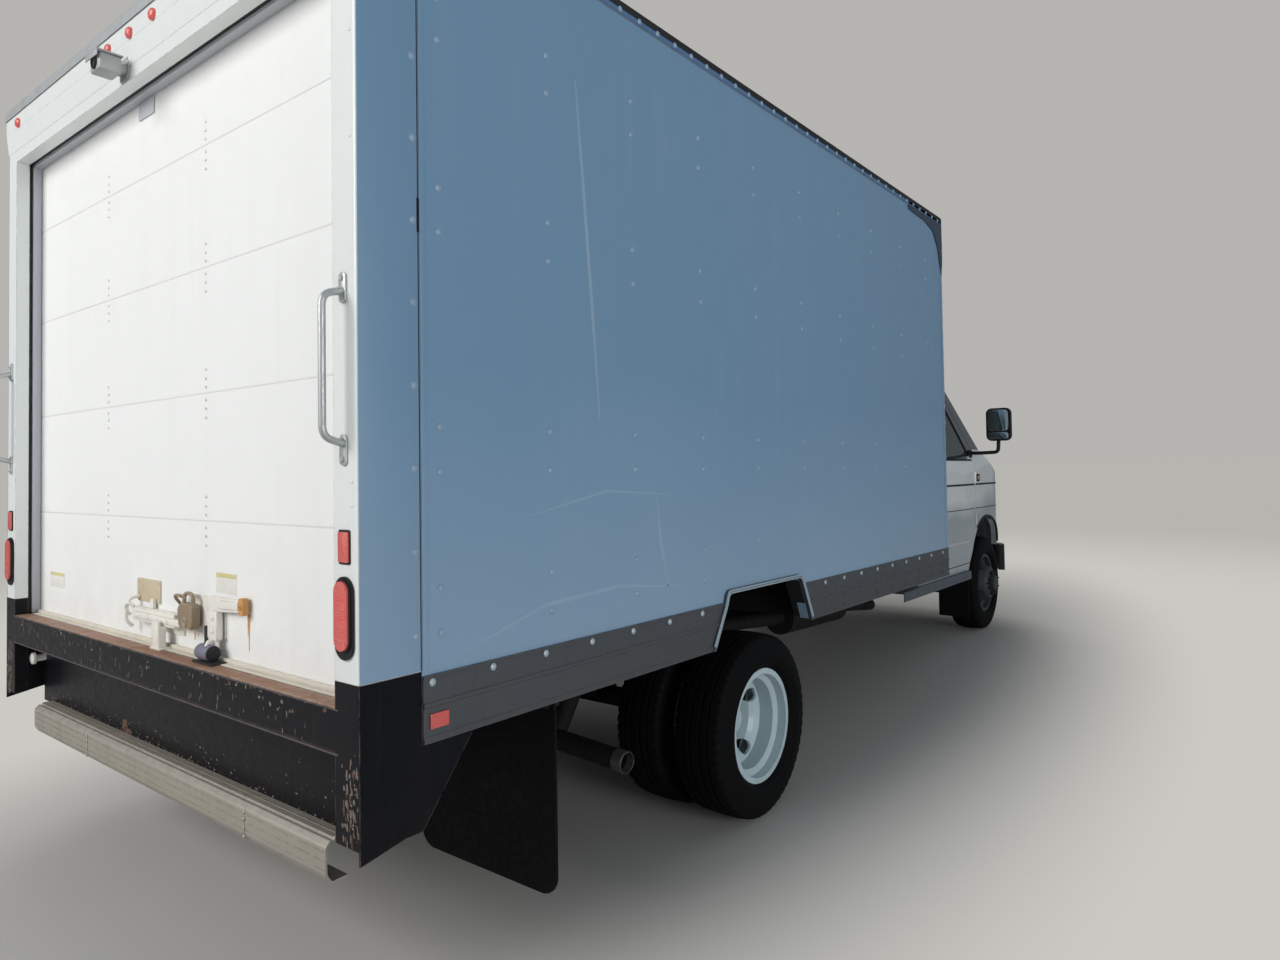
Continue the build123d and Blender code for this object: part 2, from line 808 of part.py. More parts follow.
# Roll-up door: hinged flat panels with a narrow groove at each seam and a bottom seal.
seam_width = 5.0
seam_depth = 5.0
door_half = inner_half - 30.0
with BuildPart() as rollup_door:
    slab(door_recess, door_recess + door_thick, -door_half, door_half, floor_top + seat_gap, door_top)
    for z in door_seams:
        slab(
            door_recess - 1,
            door_recess + seam_depth,
            -door_half,
            door_half,
            z - seam_width / 2,
            z + seam_width / 2,
            mode=Mode.SUBTRACT,
        )
keep("rollup_door", rollup_door.part)

# Door latch: lock plate, sliding bolt in its keeper, puck lock, second handle, strap and hook.
latch_face = door_recess - seat_gap
with BuildPart() as door_latch:
    slab(latch_face - 4, latch_face, -2, 174, 900, 1020)
    slab(latch_face - 5, latch_face, -160, 60, 862, 912)
    slab(latch_face - 34, latch_face - 4, -120, 150, 884, 930)
    slab(30, 58, -110, -66, floor_top + seat_gap, 905)
    slab(30, 95 - seat_gap, -100, -76, 880, 905)
    rod((latch_face - 60, -245, 946), (latch_face, -245, 946), 40)
    slab(latch_face - 6, latch_face, -420, -190, 880, 1000)
    slab(latch_face - 36, latch_face - 6, -560, -360, 962, 1000)
    rod((latch_face - 42, -560, 980), (latch_face, -560, 980), 26)
    slab(latch_face - 44, latch_face - 6, -430, -390, 862, 968)
    rod((44, -405, 848), (44, -335, 848), 30)
    slab(18, 90, -412, -330, floor_top + seat_gap, 826)
keep("door_latch", door_latch.part)

# Grab handles: a bent tube with flattened ends on each post.
handle_y = 1167.0
handle_low = 1388.0
handle_high = 1844.0
handle_radius = 14.0
handle_x = -75.0 + handle_radius
foot_height = 44.0
with BuildPart() as grab_handles:
    for side in (1, -1):
        y = side * handle_y
        bent_rod(
            [
                (-17, y, handle_high - 20),
                (handle_x, y, handle_high - 76),
                (handle_x, y, handle_low + 76),
                (-17, y, handle_low + 20),
            ],
            handle_radius,
        )
        for z in (handle_low, handle_high - foot_height):
            slab(-9, -seat_gap, y - 17, y + 17, z, z + foot_height)
keep("grab_handles", grab_handles.part)

# Side trims: ribbed rub rails along each sill, and the bright frame round each wheel arch.
rub_face = box_half + seat_gap
trim_out = 16.0
trim_in = 20.0
with BuildPart() as side_trims:
    end_prism(
        [
            (rub_face, rub_bottom),
            (rub_face + 8, rub_bottom),
            (rub_face + 8, rub_bottom + 14),
            (rub_face + 5, rub_bottom + 18),
            (rub_face + 5, rub_bottom + 84),
            (rub_face + 9, rub_bottom + 88),
            (rub_face + 9, rub_bottom + 96),
            (rub_face + 5, rub_bottom + 100),
            (rub_face + 5, rub_top - 18),
            (rub_face + 7, rub_top),
            (rub_face, rub_top),
        ],
        post_depth,
        front_post_x,
    )
    with BuildSketch(Plane.XZ.offset(-(rub_face + 20))):
        with BuildLine():
            FilletPolyline(*arch_points, radius=arch_radii, close=True)
        make_face()
        offset(amount=trim_out, kind=Kind.INTERSECTION)
    extrude(amount=21, mode=Mode.SUBTRACT)
    with BuildSketch(Plane.XZ.offset(-(rub_face + 14))):
        with BuildLine():
            FilletPolyline(*arch_points, radius=arch_radii, close=True)
        make_face()
        offset(amount=trim_out, kind=Kind.INTERSECTION)
        with BuildLine():
            FilletPolyline(*arch_points, radius=arch_radii, close=True)
        inner = make_face(mode=Mode.PRIVATE)
        add(inner, mode=Mode.SUBTRACT)
        with Locations(((house_rear + house_front) / 2, rub_bottom - 100)):
            Rectangle(1200, 200, mode=Mode.SUBTRACT)
    extrude(amount=14)
    mirror(about=Plane.XZ)
keep("side_trims", side_trims.part)

# Red lamps: oval tail lamps, post reflectors, side reflectors and the five lamps over the door.
header_lamp_rows = (-1068.0, -170.0, 0.0, 170.0, 1068.0)
header_lamp_low = wall_top - 53.0
with BuildPart() as red_lamps:
    for side in (1, -1):
        with BuildSketch(across(-15)):
            with Locations((side * handle_y, 1036)):
                SlotOverall(160, 52, rotation=90)
        extrude(amount=9)
        slab(-8, -seat_gap, side * handle_y - 19, side * handle_y + 19, 1159, 1229)
        reflector_y = rub_face + 5 + seat_gap
        side_slab(side, 196, 254, reflector_y, reflector_y + 6, 738, 775)
    for y in header_lamp_rows:
        slab(-22, cornice_step_x - seat_gap, y - 32, y + 32, header_lamp_low, header_lamp_low + 24)
keep("red_lamps", red_lamps.part)

# Rear fittings: the dark mounting plates of the tail lamps, and the reversing camera.
camera_low = header_bottom + 9.0
with BuildPart() as rear_fittings:
    for side in (1, -1):
        with BuildSketch(across(-6)):
            with Locations((side * handle_y, 1030)):
                SlotOverall(192, 72, rotation=90)
        extrude(amount=6 - seat_gap)
    slab(-100, -24, 2, 118, camera_low, camera_low + 72)
    slab(-118, -24, -6, 126, camera_low + 72, camera_low + 80)
    slab(-24, -seat_gap, 32, 88, camera_low + 20, camera_low + 52)
    slab(-4, -seat_gap, 20, 100, camera_low, camera_low + 96)
keep("rear_fittings", rear_fittings.part)

# Mud flaps behind the rear and front wheels.
flap_low = 133.0
front_flap_x = cab_rear + 1055.0
front_flap_low = 253.0
with BuildPart() as mudflaps:
    slab(flap_x - flap_thick / 2, flap_x + flap_thick / 2, 590, 1195, flap_low, wall_bottom - 6)
    fillet(mudflaps.edges().filter_by(Axis.X).group_by(Axis.Z)[0], 60)
    slab(
        front_flap_x,
        front_flap_x + flap_thick,
        cab_half - 233,
        cab_half - 18,
        front_flap_low,
        cab_bottom - seat_gap,
    )
    mirror(about=Plane.XZ)
keep("mudflaps", mudflaps.part)

# Cab form: the side, plan and end outlines whose common volume is the cab.
# Rows are (x, z, corner radius) for the side, (x, y, radius) for the plan, (y, z, radius) for the end.
cowl_x = cab_rear + 1430.0
cowl_z = 1476.0
shoulder_half = cab_half - 18.0
roof_half = cab_half - 158.0
cab_side = [
    (cab_rear, 540, 1),
    (cab_rear, 2150, 60),
    (cab_rear + 570, 2190, 200),
    (cab_rear + 700, 2125, 160),
    (cowl_x, cowl_z, 120),
    (cab_rear + 2070, 1330, 200),
    (cab_nose_x - 35, 1210, 110),
    (cab_nose_x, 860, 60),
    (cab_nose_x - 65, 540, 1),
]
cab_plan = [
    (cab_rear - 1, shoulder_half, 1),
    (cab_rear + 970, cab_half, 900),
    (cab_rear + 1820, cab_half - 13, 900),
    (cab_rear + 2150, cab_half - 103, 220),
    (cab_nose_x + 15, cab_half - 383, 300),
    (cab_nose_x + 15, -cab_half + 383, 300),
    (cab_rear + 2150, -cab_half + 103, 220),
    (cab_rear + 1820, -cab_half + 13, 900),
    (cab_rear + 970, -cab_half, 900),
    (cab_rear - 1, -shoulder_half, 1),
]
cab_end = [
    (cab_half - 28, 520, 1),
    (cab_half, 760, 200),
    (cab_half, 1300, 200),
    (shoulder_half, 1440, 200),
    (roof_half, 2100, 90),
    (roof_half - 165, 2200, 200),
    (-roof_half + 165, 2200, 200),
    (-roof_half, 2100, 90),
    (-shoulder_half, 1440, 200),
    (-cab_half, 1300, 200),
    (-cab_half, 760, 200),
    (-cab_half + 28, 520, 1),
]


# Each fender falls away from the hood, forward and outward, from the foot of the windshield.
fender_start = (cowl_x, cab_half, cowl_z + 4.0)
fender_normal = Vector(0.42, 0.44, 1.0).normalized()


def fender_wedge(inset):
    """The block above the left fender's slope."""
    with BuildPart() as wedge:
        slab(fender_start[0], beyond_nose, 0, cab_half + 200, 1000, 1700)
        slope = Plane(origin=Vector(*fender_start) - fender_normal * inset, z_dir=fender_normal)
        split(bisect_by=slope, keep=Keep.TOP)
    return wedge.part


def outline_face(plane, rows, inset):
    """The face inside a filleted outline on a plane, drawn in by inset."""
    with BuildSketch(plane) as face:
        with BuildLine():
            FilletPolyline(*[(a, b) for a, b, r in rows], radius=[r for a, b, r in rows], close=True)
        make_face()
        if inset:
            offset(amount=-inset, kind=Kind.INTERSECTION)
    return face.sketch


def cab_volume(inset):
    """The cab's outer form, drawn in by inset on every side."""
    far = cab_half + 197.0
    with BuildPart() as volume:
        extrude(outline_face(Plane.XZ.offset(-far), cab_side, inset), amount=2 * far)
        extrude(outline_face(Plane.XY.offset(400), cab_plan, inset), amount=2000, mode=Mode.INTERSECT)
        extrude(outline_face(across(cab_rear - 10), cab_end, inset), amount=2500, mode=Mode.INTERSECT)
        slab(cab_rear - 20, beyond_nose, -far, far, 400, cab_bottom, mode=Mode.SUBTRACT)
        wedge = fender_wedge(inset)
        add(wedge, mode=Mode.SUBTRACT)
        add(mirror(wedge, about=Plane.XZ), mode=Mode.SUBTRACT)
    return volume.part


outer_form = cab_volume(0)
inner_form = cab_volume(cab_wall)
glass_outer = cab_volume(8)
glass_inner = cab_volume(14)

# Cab openings: each door's outline and window, the hood, windshield, grille and headlamps.
door_outline = [
    (door_rear, 655),
    (door_rear, 2045),
    (door_rear + 530, 2045),
    (door_front, 1470),
    (door_front, 655),
]
door_radii = [50, 60, 120, 60, 60]
window_outline = [
    (door_rear + 70, 1415),
    (door_rear + 70, 1985),
    (door_rear + 510, 1985),
    (door_front - 60, 1415),
]
window_radii = [40, 50, 90, 40]
screen_low = (cab_half - 243, 1570.0)
screen_high = (cab_half - 323, 2060.0)
screen_rear = cab_rear + 670.0
screen_front = cab_rear + 1570.0
hood_rear = cab_rear + 1505.0
hood_front = cab_nose_x - 65.0
hood_half = cab_half - 203.0
hood_low = 1190.0
grille_half = cab_half - 503.0
grille_low = 870.0
grille_high = 1120.0
lamp_in = grille_half + 35.0
lamp_out = hood_half
lamp_low = 960.0
lamp_high = 1120.0
nose_bottom = 722.0
arch_z = front_axle_z + 40.0

# Hinges: barrels on the joint's own line, the first half on the body and the second on the leaf.
door_hinge_x = door_front + door_gap / 2
door_hinge_y = cab_half - 4.0
door_hinge_rows = (930.0, 1240.0)
hood_hinge_x = hood_rear - swing_gap / 2
hood_hinge_z = 1459.3
hood_hinge_rows = (160.0 - hood_half, hood_half - 240.0)
barrel_radius = 10.0
barrel_length = 40.0


def screen_outline(inset):
    """The windshield opening seen from ahead, drawn in by inset."""
    low_y = screen_low[0] - inset
    low_z = screen_low[1] + inset
    high_y = screen_high[0] - inset
    high_z = screen_high[1] - inset
    return [(-low_y, low_z), (low_y, low_z), (high_y, high_z), (-high_y, high_z)]


def door_barrel(side, z0, z1, radius, mode=Mode.ADD):
    """A round piece on a door's hinge line, from z0 to z1."""
    y = side * door_hinge_y
    rod((door_hinge_x, y, z0), (door_hinge_x, y, z1), radius, mode=mode)


def hood_barrel(y0, y1, radius, mode=Mode.ADD):
    """A round piece on the hood's hinge line, from y0 to y1."""
    rod((hood_hinge_x, y0, hood_hinge_z), (hood_hinge_x, y1, hood_hinge_z), radius, mode=mode)


side_inner = cab_half - 303.0
side_outer = cab_half + 97.0
with BuildPart() as cab_body:
    add(outer_form)
    add(inner_form, mode=Mode.SUBTRACT)
    for y0, y1 in ((side_inner, side_outer), (-side_outer, -side_inner)):
        side_prism(door_outline, y0, y1, radii=door_radii, margin=door_gap, mode=Mode.SUBTRACT)
        rod((front_axle_x, y0, arch_z), (front_axle_x, y1, arch_z), arch_radius, mode=Mode.SUBTRACT)
    tunnel_half = frame_half + 20
    slab(
        cab_rear - 1,
        cab_rear + 120,
        -tunnel_half,
        tunnel_half,
        cab_bottom - 10,
        cab_floor_top - 30,
        mode=Mode.SUBTRACT,
    )
    slab(
        hood_rear - swing_gap,
        hood_front + swing_gap,
        -hood_half - swing_gap,
        hood_half + swing_gap,
        hood_low - swing_gap,
        1700,
        mode=Mode.SUBTRACT,
    )
    end_prism(screen_outline(0), screen_rear, screen_front, radii=[60] * 4, mode=Mode.SUBTRACT)
    nose_cut = cab_nose_x - 225
    slab(nose_cut, beyond_nose, -grille_half, grille_half, grille_low, grille_high, mode=Mode.SUBTRACT)
    for y0, y1 in ((lamp_in, lamp_out), (-lamp_out, -lamp_in)):
        slab(nose_cut, beyond_nose, y0, y1, lamp_low, lamp_high, mode=Mode.SUBTRACT)
    slab(front_axle_x, beyond_nose, -side_outer, side_outer, cab_bottom - 10, nose_bottom, mode=Mode.SUBTRACT)
    bore = barrel_radius + swing_gap
    for z in door_hinge_rows:
        middle = z + barrel_length
        for side in (1, -1):
            door_barrel(side, middle, middle + barrel_length + swing_gap, bore, mode=Mode.SUBTRACT)
            door_barrel(side, z, middle, barrel_radius)
    for y in hood_hinge_rows:
        middle = y + barrel_length
        hood_barrel(middle, middle + barrel_length + swing_gap, bore, mode=Mode.SUBTRACT)
        hood_barrel(y, middle, barrel_radius)
keep("cab_body", cab_body.part)

# Windshield: one bent pane filling its opening.
with BuildPart() as windshield:
    add(glass_outer)
    add(glass_inner, mode=Mode.SUBTRACT)
    end_prism(screen_outline(1), screen_rear, screen_front, radii=[59] * 4, mode=Mode.INTERSECT)
keep("windshield", windshield.part)

# Hood: its own panel over the engine, hinged at the cowl.
with BuildPart() as hood:
    add(outer_form)
    add(inner_form, mode=Mode.SUBTRACT)
    slab(hood_rear, hood_front, -hood_half, hood_half, hood_low, 1700, mode=Mode.INTERSECT)
    for y in hood_hinge_rows:
        middle = y + barrel_length + seat_gap
        hood_barrel(y - swing_gap, middle, barrel_radius + swing_gap, mode=Mode.SUBTRACT)
        hood_barrel(middle, middle + barrel_length, barrel_radius)
keep("hood", hood.part)

# Cab doors: full-thickness shells cut from the side, with window openings.
with BuildPart() as left_door:
    add(outer_form)
    add(inner_form, mode=Mode.SUBTRACT)
    side_prism(door_outline, side_inner, side_outer, radii=door_radii, mode=Mode.INTERSECT)
    side_prism(window_outline, side_inner, side_outer, radii=window_radii, mode=Mode.SUBTRACT)
    rod((front_axle_x, side_inner, arch_z), (front_axle_x, side_outer, arch_z), arch_radius, mode=Mode.SUBTRACT)
    for z in door_hinge_rows:
        middle = z + barrel_length + seat_gap
        door_barrel(1, z - swing_gap, middle, barrel_radius + swing_gap, mode=Mode.SUBTRACT)
        door_barrel(1, middle, middle + barrel_length, barrel_radius)
keep("left_door", left_door.part)
keep("right_door", mirror(left_door.part, about=Plane.XZ))

with BuildPart() as left_glass:
    add(glass_outer)
    add(glass_inner, mode=Mode.SUBTRACT)
    side_prism(window_outline, side_inner, side_outer, radii=window_radii, margin=-seat_gap, mode=Mode.INTERSECT)
keep("left_glass", left_glass.part)
keep("right_glass", mirror(left_glass.part, about=Plane.XZ))

# Door mirrors: a tall head on a bent arm from the front of each door.
mirror_x = door_front - 30.0
mirror_y = cab_half + 187.0
mirror_low = 1520.0
mirror_high = 1810.0
mirror_foot_x = door_front - 60.0
mirror_foot_z = 1463.0
with BuildPart() as left_mirror:
    slab(mirror_x - 45, mirror_x + 45, mirror_y - 100, mirror_y + 100, mirror_low, mirror_high)
    fillet(left_mirror.edges().filter_by(Axis.X), 35)
    bent_rod(
        [
            (mirror_foot_x, cab_half - 18, mirror_foot_z),
            (mirror_x, mirror_y, mirror_foot_z),
            (mirror_x, mirror_y, mirror_low + 5),
        ],
        12,
    )
    rod((mirror_foot_x, cab_half - 15, mirror_foot_z - 40), (mirror_foot_x, cab_half - 13, mirror_foot_z + 10), 16)
    add(outer_form, mode=Mode.SUBTRACT)
keep("left_mirror", left_mirror.part)
keep("right_mirror", mirror(left_mirror.part, about=Plane.XZ))

# Amber lamps: five on the front wall of the box, and one on each side of the cab.
with BuildPart() as amber_lamps:
    for y in (-1000, -170, 0, 170, 1000):
        slab(box_length + seat_gap, box_length + 18, y - 32, y + 32, wall_top - 60, wall_top - 36)
    for side in (1, -1):
        side_slab(side, door_front + 40, door_front + 96, cab_half - 20, cab_half + 8, 1262, 1288)
    add(outer_form, mode=Mode.SUBTRACT)
keep("amber_lamps", amber_lamps.part)

# Cab floor: pan on four frame mounts, firewall with the engine cover behind it.
cover_half = 330.0
cover_top = 1180.0
firewall_x = cab_rear + 1150.0
pan_half = cab_half - 73.0
with BuildPart() as cab_floor:
    slab(cab_rear + cab_wall + seat_gap, firewall_x, -pan_half, pan_half, cab_floor_top - 30, cab_floor_top)
    slab(firewall_x - 30, firewall_x, -pan_half, pan_half, cab_floor_top - 30, 1400)
    slab(engine_rear - 60, firewall_x, -cover_half, cover_half, cab_floor_top - 30, cover_top)
    tunnel_half = cover_half - 30
    slab(engine_rear - 30, firewall_x + 1, -tunnel_half, tunnel_half, 600, cover_top - 30, mode=Mode.SUBTRACT)
    for x in (cab_rear + 190, firewall_x - 160):
        for y in (spring_y, -spring_y):
            rod((x, y, frame_top + seat_gap), (x, y, cab_floor_top - 25), 42)
keep("cab_floor", cab_floor.part)

# Dashboard with the steering column and wheel.
wheel_centre = (firewall_x - 330.0, 420.0, 1290.0)
with BuildPart() as dash:
    dash_front = firewall_x - 30 - seat_gap
    dash_low = cover_top + 4
    side_prism(
        [
            (dash_front, dash_low),
            (dash_front, 1400),
            (firewall_x - 180, 1400),
            (firewall_x - 250, 1330),
            (firewall_x - 190, dash_low),
        ],
        -cab_half + 103,
        cab_half - 103,
    )
    rod((firewall_x - 160, 420, 1200), wheel_centre, 30)
    with Locations(Location(wheel_centre, (0, -62, 0))):
        Torus(190, 16)
        Box(360, 46, 18)
        Cylinder(60, 36)
keep("dash", dash.part)

# Seats: driver's and passenger's, each a cushion and a back on a plinth.
seat_y = 480.0
seat_half = 250.0
seat_rear = cab_rear + 170.0
seat_low = 940.0
seat_high = 1070.0
back_top = 1760.0
with BuildPart() as seats:
    for side in (1, -1):
        y0 = side * seat_y - seat_half
        y1 = side * seat_y + seat_half
        slab(seat_rear + 20, seat_rear + 460, y0 + 60, y1 - 60, cab_floor_top + seat_gap, seat_low)
        slab(seat_rear, seat_rear + 500, y0, y1, seat_low, seat_high)
        side_prism(
            [
                (seat_rear, seat_high),
                (seat_rear + 140, seat_high),
                (seat_rear + 30, back_top),
                (seat_rear - 80, back_top),
            ],
            y0,
            y1,
        )
keep("seats", seats.part)

# Grille: a frame with horizontal bars and a centre post, set in the nose.
grille_bars = 4
grille_pitch = 47.0
with BuildPart() as grille:
    bar_rear = cab_nose_x - 65
    bar_front = cab_nose_x - 25
    fit_half = grille_half - 0.5
    hole_half = grille_half - 30
    slab(bar_rear - 15, bar_front + 12, -fit_half, fit_half, grille_low + 0.5, grille_high - 0.5)
    slab(
        bar_rear - 60,
        bar_front + 40,
        -hole_half,
        hole_half,
        grille_low + 24,
        grille_high - 24,
        mode=Mode.SUBTRACT,
    )
    for k in range(grille_bars):
        z = grille_low + 55 + grille_pitch * k
        slab(bar_rear, bar_front, -hole_half - 10, hole_half + 10, z, z + 14)
    slab(bar_rear, bar_front, -12, 12, grille_low + 10, grille_high - 10)
keep("grille", grille.part)

# Headlamps: one block lens in each corner of the nose.
with BuildPart() as headlamps:
    add(cab_volume(4))
    slab(
        cab_nose_x - 185,
        beyond_nose,
        lamp_in + 0.5,
        lamp_out - 0.5,
        lamp_low + 0.5,
        lamp_high - 0.5,
        mode=Mode.INTERSECT,
    )
    mirror(about=Plane.XZ)
keep("headlamps", headlamps.part)

# Front bumper: a bent section on two brackets from the frame rails.
bumper_x = cab_nose_x + 75.0
with BuildPart() as front_bumper:
    plan_prism(
        [
            (bumper_x - 330, -cab_half + 13),
            (bumper_x - 180, -cab_half + 68),
            (bumper_x, -cab_half + 383),
            (bumper_x, cab_half - 383),
            (bumper_x - 180, cab_half - 68),
            (bumper_x - 330, cab_half - 13),
            (bumper_x - 340, cab_half - 58),
            (bumper_x - 215, cab_half - 105),
            (bumper_x - 48, cab_half - 403),
            (bumper_x - 48, -cab_half + 403),
            (bumper_x - 215, -cab_half + 105),
            (bumper_x - 340, -cab_half + 58),
        ],
        505,
        nose_bottom - 7,
        radii=[8, 120, 200, 200, 120, 8, 8, 100, 170, 170, 100, 8],
    )
    for y in (spring_y, -spring_y):
        slab(frame_front + seat_gap, bumper_x - 44, y - 30, y + 30, frame_bottom + 30, frame_top)
keep("front_bumper", front_bumper.part)

# Running boards: a folded step along each side of the cab, on arms from the frame rails.
board_front = cab_rear + 1050.0
board_rear = cab_rear - 310.0
board_inner = cab_half - 153.0
board_outer = cab_half + 5.0
board_top = 598.0
board_sheet = 6.0
lip_bottom = 540.0
with BuildPart() as running_boards:
    end_prism(
        [
            (board_inner, board_top),
            (board_outer, board_top),
            (board_outer, lip_bottom),
            (board_outer - board_sheet, lip_bottom),
            (board_outer - board_sheet, board_top - board_sheet),
            (board_inner, board_top - board_sheet),
        ],
        board_rear,
        board_front,
    )
    for x in (board_rear + 180, board_front - 180):
        slab(x, x + 40, frame_half + seat_gap, board_outer - 8, board_top - 38, board_top - board_sheet)
    mirror(about=Plane.XZ)
keep("running_boards", running_boards.part)

# The truck stands on its wheels: nose down by the rake, and centred end to end.
stance = Pos(rear_axle_x, 0, tyre_radius) * Rot(0, rake, 0) * Pos(-rear_axle_x, 0, -tyre_radius)
standing = {name: piece.moved(stance) for name, piece in finished.items()}
boxes = [piece.bounding_box() for piece in standing.values()]
rear_end = min(box.min.X for box in boxes)
front_end = max(box.max.X for box in boxes)
centred = Pos(-(rear_end + front_end) / 2, 0, 0)
for name, piece in standing.items():
    placed = piece.moved(centred)
    placed.label = name
    export_step(placed, f"parts/{name}.step")
print("middle of the length from the rear face:", round((rear_end + front_end) / 2, 3))
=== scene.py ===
import json
import math
import random

import bmesh
import bpy
from mathutils import Matrix, Vector
from mathutils.bvhtree import BVHTree


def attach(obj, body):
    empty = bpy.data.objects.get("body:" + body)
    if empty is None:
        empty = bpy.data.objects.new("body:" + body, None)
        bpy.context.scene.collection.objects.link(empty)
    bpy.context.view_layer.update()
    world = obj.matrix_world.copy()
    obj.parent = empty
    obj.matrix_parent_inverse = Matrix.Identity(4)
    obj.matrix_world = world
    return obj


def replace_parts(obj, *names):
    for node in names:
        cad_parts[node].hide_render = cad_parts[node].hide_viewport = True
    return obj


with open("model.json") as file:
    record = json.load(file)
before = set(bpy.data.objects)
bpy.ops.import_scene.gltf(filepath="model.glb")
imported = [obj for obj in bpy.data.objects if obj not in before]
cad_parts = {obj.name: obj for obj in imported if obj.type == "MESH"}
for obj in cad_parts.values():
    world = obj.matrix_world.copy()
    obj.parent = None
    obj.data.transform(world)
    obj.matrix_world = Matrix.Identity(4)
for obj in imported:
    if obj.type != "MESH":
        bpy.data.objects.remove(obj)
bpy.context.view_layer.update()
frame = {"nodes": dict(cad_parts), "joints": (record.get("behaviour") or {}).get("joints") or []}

# Stance: the truck is drawn level, in millimetres from the rear face of its box, and stands on its
# wheels nose down. The rear hub and the kingpin's lean, both read from the frame, give the move.
joints = {joint["name"]: joint for joint in frame["joints"]}
hub_x, hub_z = 1848, 355
lean = Vector(joints["left_steer"]["axis"])
rake = math.atan2(lean.x, lean.z)
rear_hub = Vector(joints["rear_left_wheels_spin"]["pos_m"])
to_hub = Matrix.Translation((-hub_x / 1000, 0, -hub_z / 1000))
parked = Matrix.Translation((rear_hub.x, 0, rear_hub.z)) @ Matrix.Rotation(rake, 4, "Y") @ to_hub
parked_shift = parked.to_translation()

# Camera: a phone's lens at eye height behind the right rear corner, tilted a little up.
eye = Vector((-1.1425, -2.8753, 1.3605))
heading, pitch, roll = (math.radians(angle) for angle in (39.455, 1.539, -0.799))
ahead = Vector((math.cos(pitch) * math.cos(heading), math.cos(pitch) * math.sin(heading), math.sin(pitch)))
level = Vector((math.sin(heading), -math.cos(heading), 0))
upward = level.cross(ahead)
side_axis = math.cos(roll) * level + math.sin(roll) * upward
top_axis = math.cos(roll) * upward - math.sin(roll) * level
photo_width, focal_length = 1280, 847.8
scene = bpy.context.scene
lens = bpy.data.cameras.new("camera")
lens.sensor_width = 36
lens.lens = 36 * focal_length / photo_width
lens.shift_x, lens.shift_y = 0.0313, -0.0244
lens.clip_end = 200
camera = bpy.data.objects.new("camera", lens)
turn = Matrix((side_axis, top_axis, -ahead)).transposed().to_4x4()
camera.matrix_world = parked @ Matrix.Translation(eye) @ turn
scene.collection.objects.link(camera)
scene.camera = camera


# Studio: a pale floor, an even dome of cool light and three soft lamps: a warm one behind the truck, a wide
# one ahead and a cool one at its right. Floor and backdrop fade into one warm grey; beyond an oval round
# the truck the floor glows for the camera, a painted brightening that leaves the floor near the truck in
# its own shade.
def feed(tree, sockets, feeds):
    """Links an output to each named socket, or sets the socket to a plain value."""
    for key, value in feeds.items():
        if isinstance(value, bpy.types.NodeSocket):
            tree.links.new(value, sockets[key])
        else:
            sockets[key].default_value = value


def put(tree, kind, feeds, out=0, **settings):
    """Adds a shader node, sets it up, feeds its inputs and gives back one of its outputs."""
    made = tree.nodes.new("ShaderNode" + kind)
    for key, value in settings.items():
        setattr(made, key, value)
    feed(tree, made.inputs, feeds)
    return made.outputs[out] if made.outputs else made


def calc(tree, operation, *values, clamp=False):
    """One step of arithmetic on values."""
    return put(tree, "Math", dict(enumerate(values)), operation=operation, use_clamp=clamp)


def ramp(tree, value, low, high, bottom=0, top=1, **settings):
    """Turns a value between low and high into one between bottom and top."""
    return put(tree, "MapRange", {0: value, 1: low, 2: high, 3: bottom, 4: top}, **settings)


def finish(name, **values):
    """A new material with its Principled shader set to plain values."""
    made = bpy.data.materials.new(name)
    made.use_nodes = True
    shader = made.node_tree.nodes["Principled BSDF"].inputs
    feed(made.node_tree, shader, {key.replace("_", " "): value for key, value in values.items()})
    return made.node_tree, shader, made


def lamp(name, size, power, colour, place, target):
    """A soft square lamp at a place, aimed at a target."""
    data = bpy.data.lights.new(name, "AREA")
    data.size = size
    data.energy = power
    data.color = colour
    thing = bpy.data.objects.new(name, data)
    thing.location = place
    thing.rotation_euler = (Vector(target) - Vector(place)).to_track_quat("-Z", "Y").to_euler()
    scene.collection.objects.link(thing)


lamp("key_behind", 6, 950, (1, 0.985, 0.965), (-12, 2.5, 6.5), (-3, 0, 1.4))
lamp("fill_front", 7, 650, (1, 0.98, 0.95), (11, 6, 7), (2.5, 0, 1.2))
lamp("fill_side", 5, 470, (0.95, 0.985, 1), (-4.2, -11, 2.1), (0.2, 0, 1.4))

scene.view_settings.view_transform = "Standard"
sky = bpy.data.worlds.new("studio")
sky.use_nodes = True
tree = sky.node_tree
tree.nodes.clear()
rays = [put(tree, "LightPath", {}, out=kind) for kind in ("Is Camera Ray", "Is Transmission Ray")]
backdrop = put(tree, "Background", {"Color": (0.47, 0.46, 0.44, 1), "Strength": 1})
dome = put(tree, "Background", {"Color": (0.5, 0.56, 0.62, 1), "Strength": 0.4})
both = put(tree, "MixShader", {0: calc(tree, "MAXIMUM", *rays), 1: dome, 2: backdrop})
put(tree, "OutputWorld", {"Surface": both})
scene.world = sky

floor_half = 60
floor_mesh = bpy.data.meshes.new("floor")
corners = [(floor_half * a, floor_half * b, 0) for a, b in ((-1, -1), (1, -1), (1, 1), (-1, 1))]
floor_mesh.from_pydata(corners, [], [(0, 1, 2, 3)])
floor = bpy.data.objects.new("floor", floor_mesh)
scene.collection.objects.link(floor)
tree, shader, floor_paint_and_glow = finish("floor_paint_and_glow", Base_Color=(0.49, 0.475, 0.45, 1), Roughness=0.85)
spot = put(tree, "TexCoord", {}, out="Object")
away = put(tree, "VectorMath", {0: spot}, out="Value", operation="LENGTH")
glow_level = ramp(tree, away, 5, 12, 1, 0.79, interpolation_type="SMOOTHSTEP")
beside_truck = put(tree, "VectorMath", {0: spot, 1: (0.36, 1, 1)}, operation="MULTIPLY")
beside_truck = put(tree, "VectorMath", {0: beside_truck}, out="Value", operation="LENGTH")
